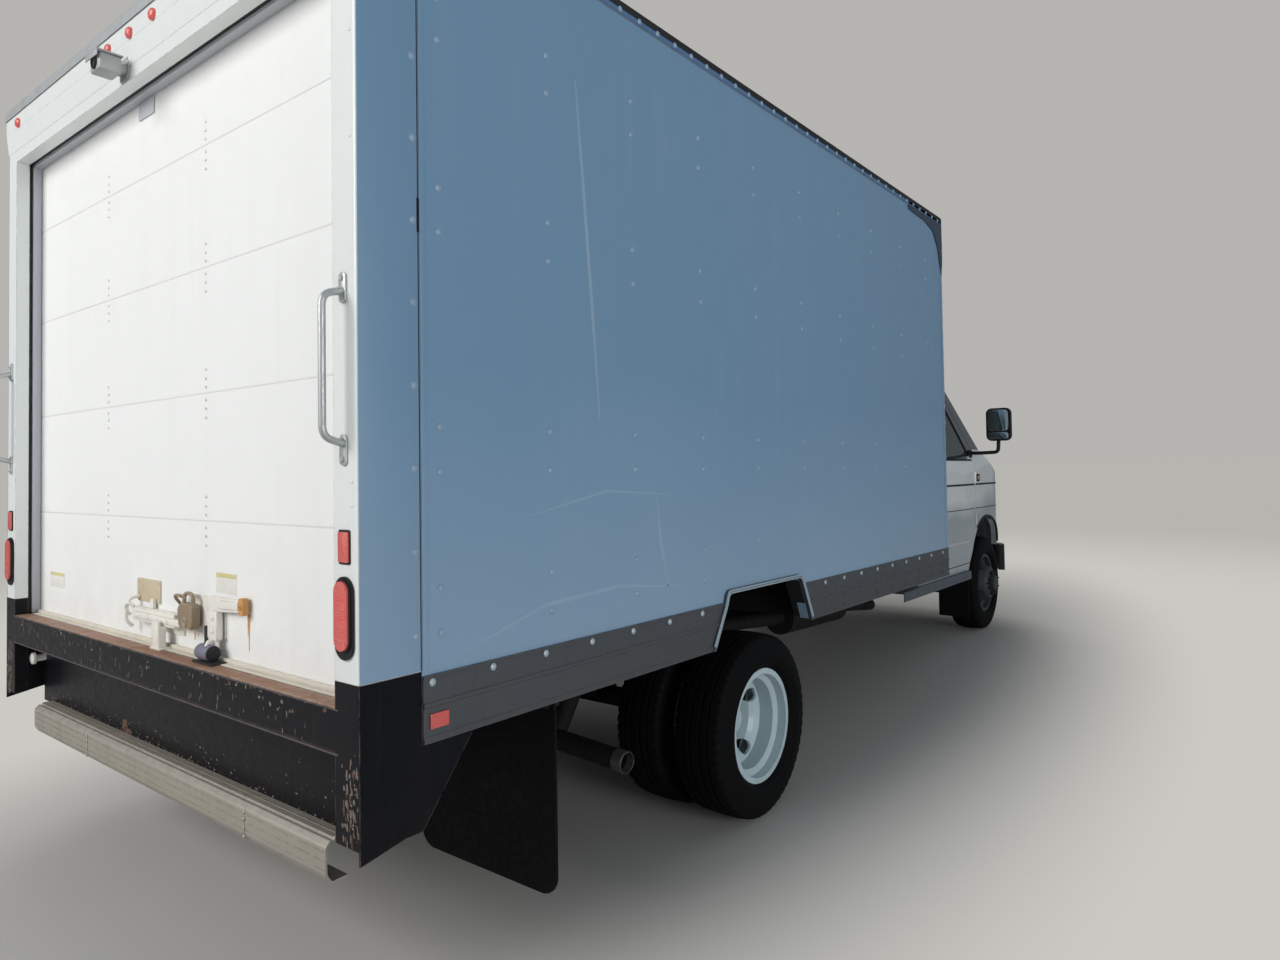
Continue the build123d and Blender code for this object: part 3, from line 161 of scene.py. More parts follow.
# The floor glows beyond an oval round the truck: painted light on the floor, for camera rays only.
glow_share = ramp(tree, beside_truck, 1.25, 2.6, interpolation_type="SMOOTHSTEP")
glow_share = calc(tree, "MULTIPLY", glow_share, put(tree, "LightPath", {}, out="Is Camera Ray"))
floor_glow = put(tree, "Emission", {"Color": (0.6, 0.585, 0.55, 1), "Strength": glow_level})
near = tree.nodes["Principled BSDF"].outputs[0]
both = put(tree, "MixShader", {0: glow_share, 1: near, 2: floor_glow})
feed(tree, tree.nodes["Material Output"].inputs, {"Surface": both})
floor_mesh.materials.append(floor_paint_and_glow)


# Chassis: two channel rails with boxed crossmembers, the axles on their springs, the knuckles
# and the driveline. Black frame paint gone dull, with dry road dust that thickens low down.
def effect(name, feeds, *gives):
    """Starts a shared effect: a node group with its place in the truck's own level frame."""
    tree = bpy.data.node_groups.new(name, "ShaderNodeTree")
    for label, value in feeds.items():
        kind = "NodeSocketColor" if isinstance(value, tuple) else "NodeSocketFloat"
        tree.interface.new_socket(label, in_out="INPUT", socket_type=kind).default_value = value
    for label in gives:
        kind = "NodeSocketColor" if label == "Colour" else "NodeSocketFloat"
        tree.interface.new_socket(label, in_out="OUTPUT", socket_type=kind)
    given, give = tree.nodes.new("NodeGroupInput"), tree.nodes.new("NodeGroupOutput")
    spot = put(tree, "TexCoord", {}, out="Object")
    move = {"Vector": spot, "Location": parked_shift, "Rotation": (0, rake, 0)}
    return tree, given.outputs, give.inputs, put(tree, "Mapping", move, vector_type="TEXTURE")


def noise(tree, place, scale, detail, roughness=0.5):
    """A cloudy value between 0 and 1."""
    feeds = {"Vector": place, "Scale": scale, "Detail": detail, "Roughness": roughness}
    return put(tree, "TexNoise", feeds)


def mix(tree, share, first, second):
    """Blends two colours by a share."""
    return put(tree, "Mix", {0: share, 6: first, 7: second}, out=2, data_type="RGBA")


def times(tree, first, *others):
    """Multiplies values and keeps them between 0 and 1."""
    for other in others:
        first = calc(tree, "MULTIPLY", first, other, clamp=True)
    return first


tree, given, give, place = effect(
    "road_dust",
    {"Clean": (0.8, 0.8, 0.8, 1), "Dust": (0.2, 0.17, 0.14, 1), "Low": 0.3, "High": 1, "Amount": 1},
    "Colour", "Mask",
)
road_dust = tree
height = put(tree, "SeparateXYZ", {0: place}, out=2)
fade = ramp(tree, height, given["High"], given["Low"])
mask = times(tree, fade, ramp(tree, noise(tree, place, 6, 9, 0.7), 0.3, 0.7), given["Amount"])
feed(tree, give, {"Colour": mix(tree, mask, given["Clean"], given["Dust"]), "Mask": mask})

tree, given, give, place = effect(
    "rain_runs", {"Base": (0.8, 0.8, 0.8, 1), "Stain": (0.2, 0.15, 0.1, 1), "Amount": 0.5, "Width": 1},
    "Colour",
)
rain_runs = tree
drawn = put(tree, "Mapping", {"Vector": place, "Scale": (24, 24, 0.9)})
drawn = put(tree, "VectorMath", {0: drawn, "Scale": given["Width"]}, operation="SCALE")
run = ramp(tree, noise(tree, drawn, 1, 5, 0.6), 0.5, 0.78)
mask = times(tree, run, ramp(tree, noise(tree, place, 1.7, 3), 0.35, 0.65), given["Amount"])
feed(tree, give, {"Colour": mix(tree, mask, given["Base"], given["Stain"])})

tree, given, give, place = effect("edge_chips", {"Reach": 0.006, "Amount": 1, "Spots": 0.2}, "Mask")
edge_chips = tree
softened = put(tree, "Bevel", {"Radius": given["Reach"]}, samples=4)
facing = put(tree, "NewGeometry", {}, out="Normal")
alike = put(tree, "VectorMath", {0: softened, 1: facing}, out="Value", operation="DOT_PRODUCT")
broken = noise(tree, place, 30, 8, 0.75)
edges = times(tree, ramp(tree, alike, 0.99, 0.82), ramp(tree, broken, 0.42, 0.55), given["Amount"])
spots = times(tree, ramp(tree, broken, 0.66, 0.7), given["Spots"])
feed(tree, give, {"Mask": calc(tree, "MAXIMUM", edges, spots)})

tree, given, give, place = effect("fine_grain", {"Scale": 60, "Swell": 0}, "Value", "Height")
fine_grain = tree
speck = noise(tree, place, given["Scale"], 6, 0.6)
sheet_wave = noise(tree, place, 2.3, 1)
swell = calc(tree, "MULTIPLY_ADD", sheet_wave, given["Swell"], speck)
feed(tree, give, {"Value": speck, "Height": swell})

# Height shading: a second colour laid over a surface below a height, used for painted shade and painted
# reflection.
tree, given, give, place = effect(
    "height_shading",
    {"Base": (0.8, 0.8, 0.8, 1), "Tint": (0.2, 0.2, 0.2, 1), "Low": 0.8, "High": 1.8, "Amount": 0.5},
    "Colour",
)
height_shading = tree
height = put(tree, "SeparateXYZ", {0: place}, out=2)
wander = calc(tree, "MULTIPLY_ADD", noise(tree, place, 0.9, 2), 0.5, height)
share = times(tree, ramp(tree, wander, given["High"], given["Low"]), given["Amount"])
feed(tree, give, {"Colour": mix(tree, share, given["Base"], given["Tint"])})


def use(tree, group, **feeds):
    """Places a shared effect in a material with its own values, and gives back its outputs."""
    made = tree.nodes.new("ShaderNodeGroup")
    made.node_tree = group
    feed(tree, made.inputs, feeds)
    return made.outputs


def dusted(tree, clean, dust):
    """Lays road dust over a colour; dust is (colour, low, high, amount)."""
    soil, low, high, amount = dust
    return use(tree, road_dust, Clean=clean, Dust=(*soil, 1), Low=low, High=high, Amount=amount)


def surface(
    name, clean, dust, rough, grain, shading=None, runs=None, chips=None, swell=0, relief=0.0004, **plain
):
    """A weathered finish: its clean colour, then painted shading that changes with height, rain runs,
    chipped edges and dust over it.

    dust and shading are (colour, low, high, amount), shading being painted light and shade laid below a
    height; rough the least and greatest roughness, grain the fine texture's scale, runs (colour, amount,
    width) and chips (colour, reach, amount, spots).
    """
    tree, shader, made = finish(name, **plain)
    colour = (*clean, 1)
    if shading:
        shade, low, high, amount = shading
        colour = use(tree, height_shading, Base=colour, Tint=(*shade, 1), Low=low, High=high, Amount=amount)[0]
    if runs:
        stain, amount, width = runs
        colour = use(tree, rain_runs, Base=colour, Stain=(*stain, 1), Amount=amount, Width=width)[0]
    if chips:
        bare, reach, amount, spots = chips
        worn = use(tree, edge_chips, Reach=reach, Amount=amount, Spots=spots)[0]
        patch = noise(tree, put(tree, "TexCoord", {}, out="Object"), 90, 5)
        darker, lighter = ((*(min(1, share * c) for c in bare), 1) for share in (0.6, 1.3))
        colour = mix(tree, worn, colour, mix(tree, patch, darker, lighter))
    dusty = dusted(tree, colour, dust)
    texture = use(tree, fine_grain, Scale=grain, Swell=swell)
    gloss = ramp(tree, texture["Value"], 0.3, 0.7, *rough)
    dulled = calc(tree, "MULTIPLY_ADD", dusty["Mask"], 0.4, gloss, clamp=True)
    bump = put(tree, "Bump", {"Strength": 0.6, "Distance": relief, "Height": texture["Height"]})
    feed(tree, shader, {"Base Color": dusty["Colour"], "Roughness": dulled, "Normal": bump})
    return made


def dress(material, *nodes):
    """Gives CAD nodes a finish."""
    for node in nodes:
        thing = frame["nodes"][node]
        if not thing.material_slots:
            thing.data.materials.append(None)
        for one in thing.material_slots:
            one.link = "OBJECT"
            one.material = material


dry_mud = (0.06, 0.05, 0.04)
frame_paint = surface(
    "frame_paint", (0.006, 0.006, 0.007), (dry_mud, 0.1, 0.9, 0.12), (0.5, 0.75), 70, Specular_IOR_Level=0.1
)
dress(frame_paint, "frame_rails", "rear_axle", "front_axle", "fuel_tank")
cast_iron = surface(
    "cast_iron", (0.012, 0.012, 0.012), (dry_mud, 0.2, 1.2, 0.2), (0.6, 0.85), 120, relief=0.001,
    Metallic=0.2, Specular_IOR_Level=0.1,
)
dress(cast_iron, "powertrain", "left_knuckle", "right_knuckle")
hot_steel = surface(
    "hot_steel", (0.016, 0.015, 0.015), (dry_mud, 0.1, 0.8, 0.15), (0.45, 0.8), 50,
    runs=((0.04, 0.026, 0.018), 0.4, 0.7), Metallic=0.2, Specular_IOR_Level=0.15,
)
dress(hot_steel, "exhaust")


# Wheels: pressed steel. Eight hex nuts hold each disc to its hub. The twin rear discs, in pale paint dimmed
# and blued by painted shade, chipped and sprinkled with brake dust, turn inward; the front ones are painted
# near-black, a painted shadow, under brake dust.
def lay_ring(mesh, centre, across, radius, steps):
    """Adds a ring of vertices round a centre, in the plane of two directions."""
    if radius == 0:
        return [mesh.verts.new(centre)]
    turns = [2 * math.pi * k / steps for k in range(steps)]
    return [
        mesh.verts.new(centre + radius * (math.cos(a) * across[0] + math.sin(a) * across[1])) for a in turns
    ]


def loft(mesh, rings, ends=()):
    """Closes the strips between rings in a row, each of which may be one point, and the listed ends."""
    for first, second in zip(rings, rings[1:]):
        for k in range(max(len(first), len(second))):
            walk = ((first, k), (first, k + 1), (second, k + 1), (second, k))
            corners = list(dict.fromkeys(ring[n % len(ring)] for ring, n in walk))
            if len(corners) > 2:
                mesh.faces.new(corners)
    for end in ends:
        mesh.faces.new(rings[end])


def across_of(axis):
    """Two directions square to an axis."""
    first = axis.cross(Vector((0, 0, 1)) if abs(axis.z) < 0.9 else Vector((1, 0, 0))).normalized()
    return first, axis.cross(first)


def turned(mesh, outline, centre, axis, steps=10):
    """A turned form: (distance along the axis, radius) points, from its seat to its tip."""
    axis = Vector(axis).normalized()
    across = across_of(axis)
    loft(mesh, [lay_ring(mesh, Vector(centre) + a * axis, across, radius, steps) for a, radius in outline])


def set_down(name, mesh, material, body="truck", crease=35):
    """Turns a drawing in level millimetres into a piece that stands with the truck and rides on a body."""
    bmesh.ops.recalc_face_normals(mesh, faces=mesh.faces)
    bmesh.ops.transform(mesh, matrix=parked @ Matrix.Scale(0.001, 4), verts=mesh.verts)
    data = bpy.data.meshes.new(name)
    mesh.to_mesh(data)
    mesh.free()
    data.polygons.foreach_set("use_smooth", [True] * len(data.polygons))
    data.set_sharp_from_angle(angle=math.radians(crease))
    data.materials.append(material)
    thing = bpy.data.objects.new(name, data)
    scene.collection.objects.link(thing)
    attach(thing, body)
    return thing


brake_dust = (0.1, 0.1, 0.1)
# Rear disc paint: pale paint, dimmed and blued to stand for shade (painted shade).
wheel_paint_and_shade = surface(
    "wheel_paint_and_shade", (0.5, 0.61, 0.65), (brake_dust, 0, 0.75, 0.3), (0.3, 0.5), 90,
    chips=((0.1, 0.085, 0.07), 0.004, 0.9, 0.7), Coat_Weight=0.2,
)
dress(wheel_paint_and_shade, "rear_left_rims", "rear_right_rims")
# Front discs: near-black, a painted shadow, with brake dust over it.
shadowed_dusty_wheel = surface("shadowed_dusty_wheel", (0.035, 0.037, 0.04), (brake_dust, 0, 0.75, 0.4), (0.5, 0.7), 90)
dress(shadowed_dusty_wheel, "front_left_rim", "front_right_rim")
nut_steel = surface(
    "nut_steel", (0.035, 0.034, 0.033), (brake_dust, 0, 0.8, 0.3), (0.4, 0.7), 150, Metallic=0.6
)
wheelbase = 4013
drawn_rake = math.radians(1.5)
rear_wheel = (hub_x, hub_z)
front_wheel = (hub_x + wheelbase * math.cos(drawn_rake), hub_z + wheelbase * math.sin(drawn_rake))
nut_circle = 82.5
nut_count = 8
nut_form = [(0, 17), (3, 17), (3, 15.5), (20, 15.5), (24, 12), (24, 8), (33, 8), (34, 6), (34, 0)]
valve_form = [(0, 6), (22, 5), (24, 3.5), (34, 3.5), (35, 0)]
wheels = {
    "rear_right": ("rear_right_wheels", rear_wheel, -1, 1004),
    "rear_left": ("rear_left_wheels", rear_wheel, 1, 1004),
    "front_right": ("front_right_wheel", front_wheel, -1, 1017.5),
    "front_left": ("front_left_wheel", front_wheel, 1, 1017.5),
}
for name, (body, (x, z), side, seat) in wheels.items():
    nuts = bmesh.new()
    for k in range(nut_count):
        angle = math.radians(22.5 + 360 / nut_count * k)
        centre = (x + nut_circle * math.cos(angle), side * seat, z + nut_circle * math.sin(angle))
        turned(nuts, nut_form, centre, (0, side, 0), steps=6)
    turned(nuts, valve_form, (x - 128, side * (seat + 5), z + 8), (-0.3, side, 0), steps=8)
    set_down(name + "_nuts", nuts, nut_steel, body, crease=30)


# Tyres: light-truck radials with ribs round the tread and cross cuts in the shoulders. The
# walls carry two moulded rings. Dry dust lies in the tread; the rubber is nearly black.
tread_ribs = [(0, 355), (15, 354.9), (17, 347), (25, 347), (27, 354.4), (47, 353.8), (49, 346), (57, 346)]
shoulder = [(70, 352), (84, 350.5), (91, 346), (97, 337)]
tyre_wall = [
    (101, 323), (107, 303), (111, 283), (111.5, 270), (110.5, 258), (108.5, 257), (107, 249), (108, 247),
    (104, 237), (102, 236), (96, 229), (88, 224), (81.7, 221.5), (81.7, 205),
]
shoulder_cut = 7
cut_rows = {y for y, r in shoulder}
right_half = tread_ribs + [(59, 353)] + shoulder + tyre_wall
whole = [(-y, r) for y, r in reversed(right_half[1:])] + right_half
tread_pitches = 56
black_rubber = surface(
    "black_rubber", (0.003, 0.003, 0.0034), ((0.02, 0.019, 0.018), 0, 0.5, 0.2), (0.6, 0.85), 160,
    relief=0.0006, Specular_IOR_Level=0.1,
)


def roll_tyre(mesh, middle_y, x, z):
    """One tyre round its wheel: each pitch of the tread is a block and the cut after it."""
    rings = []
    for k in range(tread_pitches * 3):
        angle = 2 * math.pi * (k // 3 + (0, 0.42, 0.72)[k % 3]) / tread_pitches
        ring = []
        for y, radius in whole:
            if k % 3 == 2 and abs(y) in cut_rows:
                radius -= shoulder_cut
            spot = (x + radius * math.cos(angle), middle_y + y, z + radius * math.sin(angle))
            ring.append(mesh.verts.new(spot))
        rings.append(ring)
    for first, second in zip(rings, rings[1:] + rings[:1]):
        for corners in zip(first, first[1:], second[1:], second):
            mesh.faces.new(corners)


tyre_rows = {
    "rear_right_tyres": ("rear_right_wheels", rear_wheel, (-860, -1132)),
    "rear_left_tyres": ("rear_left_wheels", rear_wheel, (860, 1132)),
    "front_right_tyre": ("front_right_wheel", front_wheel, (-881.5,)),
    "front_left_tyre": ("front_left_wheel", front_wheel, (881.5,)),
}
for node, (body, wheel, middles) in tyre_rows.items():
    rubber = bmesh.new()
    for middle in middles:
        roll_tyre(rubber, middle, *wheel)
    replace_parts(set_down(node + "_treaded", rubber, black_rubber, body, crease=28), node)



# Box understructure and deck: galvanised crossmembers and wheel houses, painted near-black as painted shade
# and dusted with road dust, under a deck of oiled hardwood boards laid lengthwise.
# The zinc is near-black: painted shade under the box.
shade_dark_zinc = surface(
    "shade_dark_zinc", (0.018, 0.018, 0.019), (dry_mud, 0.5, 1, 0.2), (0.5, 0.8), 90, Specular_IOR_Level=0.1
)
dress(shade_dark_zinc, "box_sills")

board_width = 0.04
tree, given, give, place = effect(
    "deck_boards", {"Pale": (0.4, 0.27, 0.15, 1), "Dark": (0.16, 0.09, 0.045, 1)}, "Colour", "Height"
)
deck_boards = tree
along_grain = put(tree, "Mapping", {"Vector": place, "Scale": (2, 45, 45)})
grain = put(tree, "TexNoise", {"Vector": along_grain, "Scale": 1, "Detail": 6, "Distortion": 0.6})
board_count = calc(tree, "DIVIDE", put(tree, "SeparateXYZ", {0: place}, out=1), board_width)
board = times(tree, grain, calc(tree, "COMPARE", calc(tree, "FRACT", board_count), 0.5, 0.46))
feed(tree, give, {"Colour": mix(tree, board, given["Dark"], given["Pale"]), "Height": board})
tree, shader, hardwood = finish("hardwood")
boards = use(tree, deck_boards)
scuffs = use(tree, fine_grain, Scale=14)["Value"]
worn = mix(tree, ramp(tree, scuffs, 0.5, 0.75, 0, 0.6), boards["Colour"], (0.22, 0.18, 0.14, 1))
bump = put(tree, "Bump", {"Strength": 0.5, "Distance": 0.001, "Height": boards["Height"]})
feed(
    tree, shader, {"Base Color": worn, "Roughness": ramp(tree, scuffs, 0.3, 0.7, 0.5, 0.8), "Normal": bump}
)
dress(hardwood, "box_floor")

# Box walls: blue-grey pre-painted sheet over posts at 405 mm, held by pairs of domed rivets, with a sealed
# joint behind the rear post. The blue-grey is partly the sheet's paint and partly painted open shade; paler
# low down, a painted reflection of the ground, with road dust lowest.
wall_half = 1219
# Blue-grey partly the sheet's own paint and partly painted open shade; the paler colour laid low down is a
# painted reflection of the ground.
sheet_paint_and_shade = surface(
    "sheet_paint_and_shade", (0.175, 0.305, 0.455), ((0.33, 0.38, 0.43), 0.7, 1.3, 0.25), (0.34, 0.46), 9,
    shading=((0.3, 0.42, 0.55), 0.95, 1.9, 0.75), runs=((0.26, 0.37, 0.48), 0.3, 0.8), swell=6, relief=0.0007,
    Coat_Weight=0.1,
)
dress(sheet_paint_and_shade, "box_walls", "front_wall")
rivet_paint = surface("rivet_paint", (0.29, 0.41, 0.54), ((0.1, 0.1, 0.1), 0.5, 3.2, 0.25), (0.2, 0.4), 120)
rivet_form = [(-0.5, 10.5), (1.2, 10.5), (3.6, 8), (5.2, 4), (5.6, 0)]
wall_posts = range(240, 3886, 405)
wall_rivet_rows = (965, 1075, 1365, 1477, 1969, 2081, 2460, 2570)
post_rivet_rows = range(968, 2593, 203)
joint_lap_x = (180, 200)


def wall_rivet(mesh, x, z, side, out=wall_half, size=1):
    """A domed rivet on a side wall."""
    turned(mesh, [(a * size, r * size) for a, r in rivet_form], (x, side * out, z), (0, side, 0), steps=10)


def soften(mesh, edges, reach):
    """Rolls edges over by a small reach, or leaves them sharp."""
    if reach:
        bmesh.ops.bevel(mesh, geom=list(edges), offset=reach, segments=2, profile=0.5, affect="EDGES")


def block(mesh, one, other, edge=0):
    """A block between two opposite corners, with rolled edges."""
    made = bmesh.ops.create_cube(mesh, size=1)["verts"]
    low, high = (Vector([pick(pair) for pair in zip(one, other)]) for pick in (min, max))
    middle, span = (low + high) / 2, high - low
    for vertex in made:
        vertex.co = Vector([middle[i] + span[i] * vertex.co[i] for i in range(3)])
    soften(mesh, {one for vertex in made for one in vertex.link_edges}, edge)


wall_fixings = bmesh.new()
for side in (-1, 1):
    for x in wall_posts:
        for z in wall_rivet_rows:
            if z > 1000 or not 1500 < x < 2300:
                wall_rivet(wall_fixings, x, z, side)
    for z in post_rivet_rows:
        wall_rivet(wall_fixings, 160, z, side)
    for z in range(790, 2800, 105):
        wall_rivet(wall_fixings, 4176, z, side, size=1.1)
set_down("wall_rivets", wall_fixings, rivet_paint)

laps_and_post_shade = bmesh.new()
for side in (-1, 1):
    block(
        laps_and_post_shade, (joint_lap_x[0], side * wall_half, 882), (joint_lap_x[1], side * (wall_half + 2), 2836),
        0.8,
    )
    block(laps_and_post_shade, (4150, side * wall_half, 720), (4178, side * (wall_half + 2), 2836), 0.8)
    # A blue-grey skin over the side of the white rear post: painted shade, the post's white seen in open
    # shade.
    block(laps_and_post_shade, (1.5, side * (wall_half - 0.6), 882), (173.5, side * (wall_half + 1.1), 2838), 0.5)
set_down("laps_and_post_shade", laps_and_post_shade, sheet_paint_and_shade)

# Joint sealant: black mastic in the joint behind the rear post, opened at one place.
mastic = surface("mastic", (0.01, 0.011, 0.013), (dry_mud, 0.5, 1.4, 0.3), (0.5, 0.8), 130)
joint = bmesh.new()
for side in (-1, 1):
    block(joint, (174.4, side * (wall_half - 0.6), 882), (177.4, side * (wall_half + 1.4), 2838), 0.5)
    block(joint, (171.5, side * (wall_half - 0.6), 1955), (181, side * (wall_half + 1.4), 2040), 0.5)
set_down("joint_mastic", joint, mastic)

# Scuffs: long shallow rubs in the right wall's paint, polished pale by branches and dock walls.
scuff_paint = surface(
    "scuff_paint", (0.27, 0.39, 0.51), ((0.33, 0.45, 0.57), 0.5, 3, 0.7), (0.25, 0.45), 40
)
scuffs = bmesh.new()
for route, width in (
    ([(776, 2545), (800, 2300), (838, 1900), (872, 1519)], 7),
    ([(1165, 1270), (1185, 1120), (1225, 960)], 9), ([(310, 905), (620, 985), (960, 1000), (1330, 960)], 6),
    ([(560, 1240), (900, 1300), (1250, 1280)], 4),
):
    edge = []
    for k, (x, z) in enumerate(route):
        ends = 0.3 if k in (0, len(route) - 1) else 1
        upright = abs(route[-1][1] - route[0][1]) > abs(route[-1][0] - route[0][0])
        dx, dz = (width * ends, 0) if upright else (0, width * ends)
        low_side = scuffs.verts.new((x - dx, -wall_half - 0.25, z - dz))
        edge.append((low_side, scuffs.verts.new((x + dx, -wall_half - 0.25, z + dz))))
    for first, second in zip(edge, edge[1:]):
        scuffs.faces.new((first[0], second[0], second[1], first[1]))
set_down("wall_scuffs", scuffs, scuff_paint)

# Roof: one sheet of the same paint, chalky and dusty on top.
roof_paint = surface(
    "roof_paint", (0.6, 0.61, 0.61), ((0.25, 0.23, 0.2), 2, 2.9, 0.35), (0.5, 0.75), 25, swell=6,
    relief=0.001,
)
dress(roof_paint, "roof")
roof_bows = bmesh.new()
for x in range(420, 3861, 430):
    block(roof_bows, (x, -1120, 2876), (x + 12, 1120, 2878.5), 0.8)
set_down("roof_seams", roof_bows, roof_paint)

# Body rails: extruded aluminium round the roof, a two-tier cornice over the door and rounded corner posts
# at the front. Mill finish gone dull; along the sides a dark-blue skin over it is painted open shade.
mill_metal = surface(
    "mill_metal", (0.4, 0.42, 0.43), ((0.16, 0.15, 0.14), 0.5, 1, 0.6), (0.38, 0.55), 40,
    runs=((0.16, 0.16, 0.16), 0.35, 0.9), Metallic=0.3,
)
dress(mill_metal, "body_rails")
# Dark-blue skin for the rails' sides: painted open shade on the aluminium.
shaded_rail = surface(
    "shaded_rail", (0.085, 0.18, 0.34), ((0.2, 0.24, 0.28), 2.4, 3.2, 0.2), (0.3, 0.5), 40,
    runs=((0.03, 0.05, 0.09), 0.5, 0.9),
)
rail_rivet_first, rail_rivet_pitch, rail_rivet_count = 60, 104, 40
rail_shade_skins = bmesh.new()
rail_rivets = bmesh.new()
rail_tops = bmesh.new()
for side in (-1, 1):
    block(rail_shade_skins, (-6, side * 1223.4, 2842), (4172, side * 1224.6, 2874), 0.5)
    block(rail_shade_skins, (-8, side * 1223.5, 2840), (4170, side * 1226.5, 2845), 1.2)
    block(rail_tops, (-8, side * 1223.5, 2858), (4170, side * 1226.5, 2882), 1.2)
    for k in range(rail_rivet_count):
        wall_rivet(rail_rivets, rail_rivet_first + rail_rivet_pitch * k, 2854, side, out=1224.4)
set_down("rail_shade_skins", rail_shade_skins, shaded_rail)
set_down("rail_rivets", rail_rivets, rivet_paint)
set_down("rail_tops", rail_tops, mastic)

# Rear frame: the two posts and the header, in white enamel that has chipped to rust at the
# edges and carries rain marks below the lamps and fixings.
post_enamel = surface(
    "post_enamel", (0.76, 0.79, 0.78), ((0.3, 0.26, 0.2), 0.6, 1.3, 0.3), (0.28, 0.45), 35,
    runs=((0.42, 0.4, 0.36), 0.14, 1.1), chips=((0.16, 0.08, 0.04), 0.004, 0.7, 0.12), Coat_Weight=0.15,
)
dress(post_enamel, "rear_frame")
small_form = [(-0.5, 5), (0.8, 5), (2, 3.6), (2.6, 0)]


def bolts(mesh, form, x, places, steps=10):
    """Fixings on a face that looks to the rear, at (y, z) places."""
    for y, z in places:
        turned(mesh, form, (x, y, z), (-1, 0, 0), steps)


post_fixings = bmesh.new()
bolts(
    post_fixings, small_form, 0,
    [(side * 1196, z) for side in (-1, 1) for z in (960, 1290, 1345, 2150, 2400)],
)
cover = [(-7.9, 2838.5), (-9.4, 2838), (-9.4, 2788), (-0.7, 2700), (0.5, 2700), (0.5, 2770), (-7.9, 2780)]
loft(post_fixings, [[post_fixings.verts.new((x, y, z)) for x, z in cover] for y in (-1217, 1217)], (0, -1))
set_down("post_rivets", post_fixings, post_enamel)

# Weather seals: a black rubber bead in each jamb and under the header, then a pale vinyl lip
# that wipes the door.
# The same black also serves as a painted shadow under the cornice.
seal_rubber_and_shade = surface("seal_rubber_and_shade", (0.008, 0.008, 0.009), (dry_mud, 0.6, 1.2, 0.2), (0.5, 0.8), 140)
# The same pale vinyl also serves as a painted highlight on the cab door sills.
lip_vinyl_and_highlight = surface("lip_vinyl_and_highlight", (0.52, 0.53, 0.58), ((0.3, 0.26, 0.2), 0.7, 1.3, 0.3), (0.45, 0.65), 60)
seals = bmesh.new()
lips = bmesh.new()
for side in (-1, 1):
    block(seals, (47, side * 1139, 818), (62, side * 1150, 2700), 2)
    block(lips, (62.5, side * 1132, 818), (93.5, side * 1149, 2700), 2)
block(seals, (47, -1139, 2660), (62, 1139, 2700), 2)
block(lips, (62.5, -1132, 2650), (93.5, 1132, 2700), 2)
block(lips, (90.5, 63, 2590), (93.8, 181, 2652), 0.8)
set_down("door_seals", seals, seal_rubber_and_shade)
set_down("door_lips", lips, lip_vinyl_and_highlight)
aged_vinyl = surface("aged_vinyl", (0.7, 0.66, 0.57), ((0.3, 0.22, 0.15), 0.7, 1.3, 0.35), (0.45, 0.65), 60)
foot_seal = bmesh.new()
block(foot_seal, (80, -1138, 815.5), (94.2, 1138, 829), 3)
set_down("door_foot_seal", foot_seal, aged_vinyl)

# Roll-up door: flat white panels hinged together on the inside. Carriage bolts of the hinges stand in
# columns beside each seam. Grey strips laid along the seams are painted seam shade, and dirt has gathered
# at the foot.
seat = 95  # the door's outer face, on which its fittings sit
door_seams = (1226, 1617, 2006, 2386)
door_enamel = surface(
    "door_enamel", (0.87, 0.88, 0.87), ((0.45, 0.4, 0.33), 0.75, 1.3, 0.22), (0.35, 0.55), 28,
    runs=((0.62, 0.62, 0.6), 0.16, 0.8), swell=3, relief=0.0005,
)
dress(door_enamel, "rollup_door")
hinge_columns = (-296, 444)
bolt_form = [(-0.5, 8), (1, 8), (2.8, 6), (3.8, 3), (4, 0)]
door_bolts = bmesh.new()
bolt_rows = [seam + dz for seam in door_seams for dz in (-74, -46, -20, 20, 46, 74)]
bolts(door_bolts, small_form, seat, [(y, z) for y in hinge_columns for z in bolt_rows], 12)
zinc_bolt = surface(
    "zinc_bolt", (0.58, 0.57, 0.54), ((0.24, 0.17, 0.11), 0.6, 3.2, 0.25), (0.3, 0.55), 160, Metallic=0.3
)
set_down("door_bolts", door_bolts, zinc_bolt)

# Grey for the strips along the door seams: painted shade of the seams.
seam_shade = surface("seam_shade", (0.74, 0.74, 0.73), ((0.4, 0.36, 0.3), 0.7, 1.6, 0.4), (0.4, 0.6), 30)
seam_strips = bmesh.new()
for seam in door_seams:
    block(seam_strips, (seat + 1, -1132, seam - 4.8), (seat + 4.6, 1132, seam + 4.8), 0.6)
set_down("door_seam_fill", seam_strips, seam_shade)
# A black strip under the cornice's top rail: painted shadow.
cornice_shadow_line = bmesh.new()
block(cornice_shadow_line, (-9.9, -1216, 2837.5), (-8.2, 1216, 2843.5), 0.5)
set_down("cornice_shadow_line", cornice_shadow_line, seal_rubber_and_shade)

# Blank labels: two pale, sun-faded stickers on the door, each with a yellow band and nothing written.
faded_label = surface("faded_label", (0.8, 0.8, 0.76), ((0.25, 0.2, 0.15), 0.4, 3, 0.3), (0.5, 0.7), 60)
label_band = surface("label_band", (0.7, 0.64, 0.3), ((0.25, 0.2, 0.15), 0.4, 3, 0.4), (0.5, 0.7), 60)
labels = bmesh.new()
bands = bmesh.new()
for y0, y1, z0, z1 in ((866, 1020, 932, 992), (-482, -358, 1015, 1076)):
    block(labels, (seat - 0.9, y0, z0), (seat + 0.2, y1, z1), 0.3)
    block(bands, (seat - 1.3, y0 + 2, z1 - 15), (seat - 0.5, y1 - 2, z1 - 2), 0.2)
set_down("blank_labels", labels, faded_label)
set_down("blank_bands", bands, label_band)


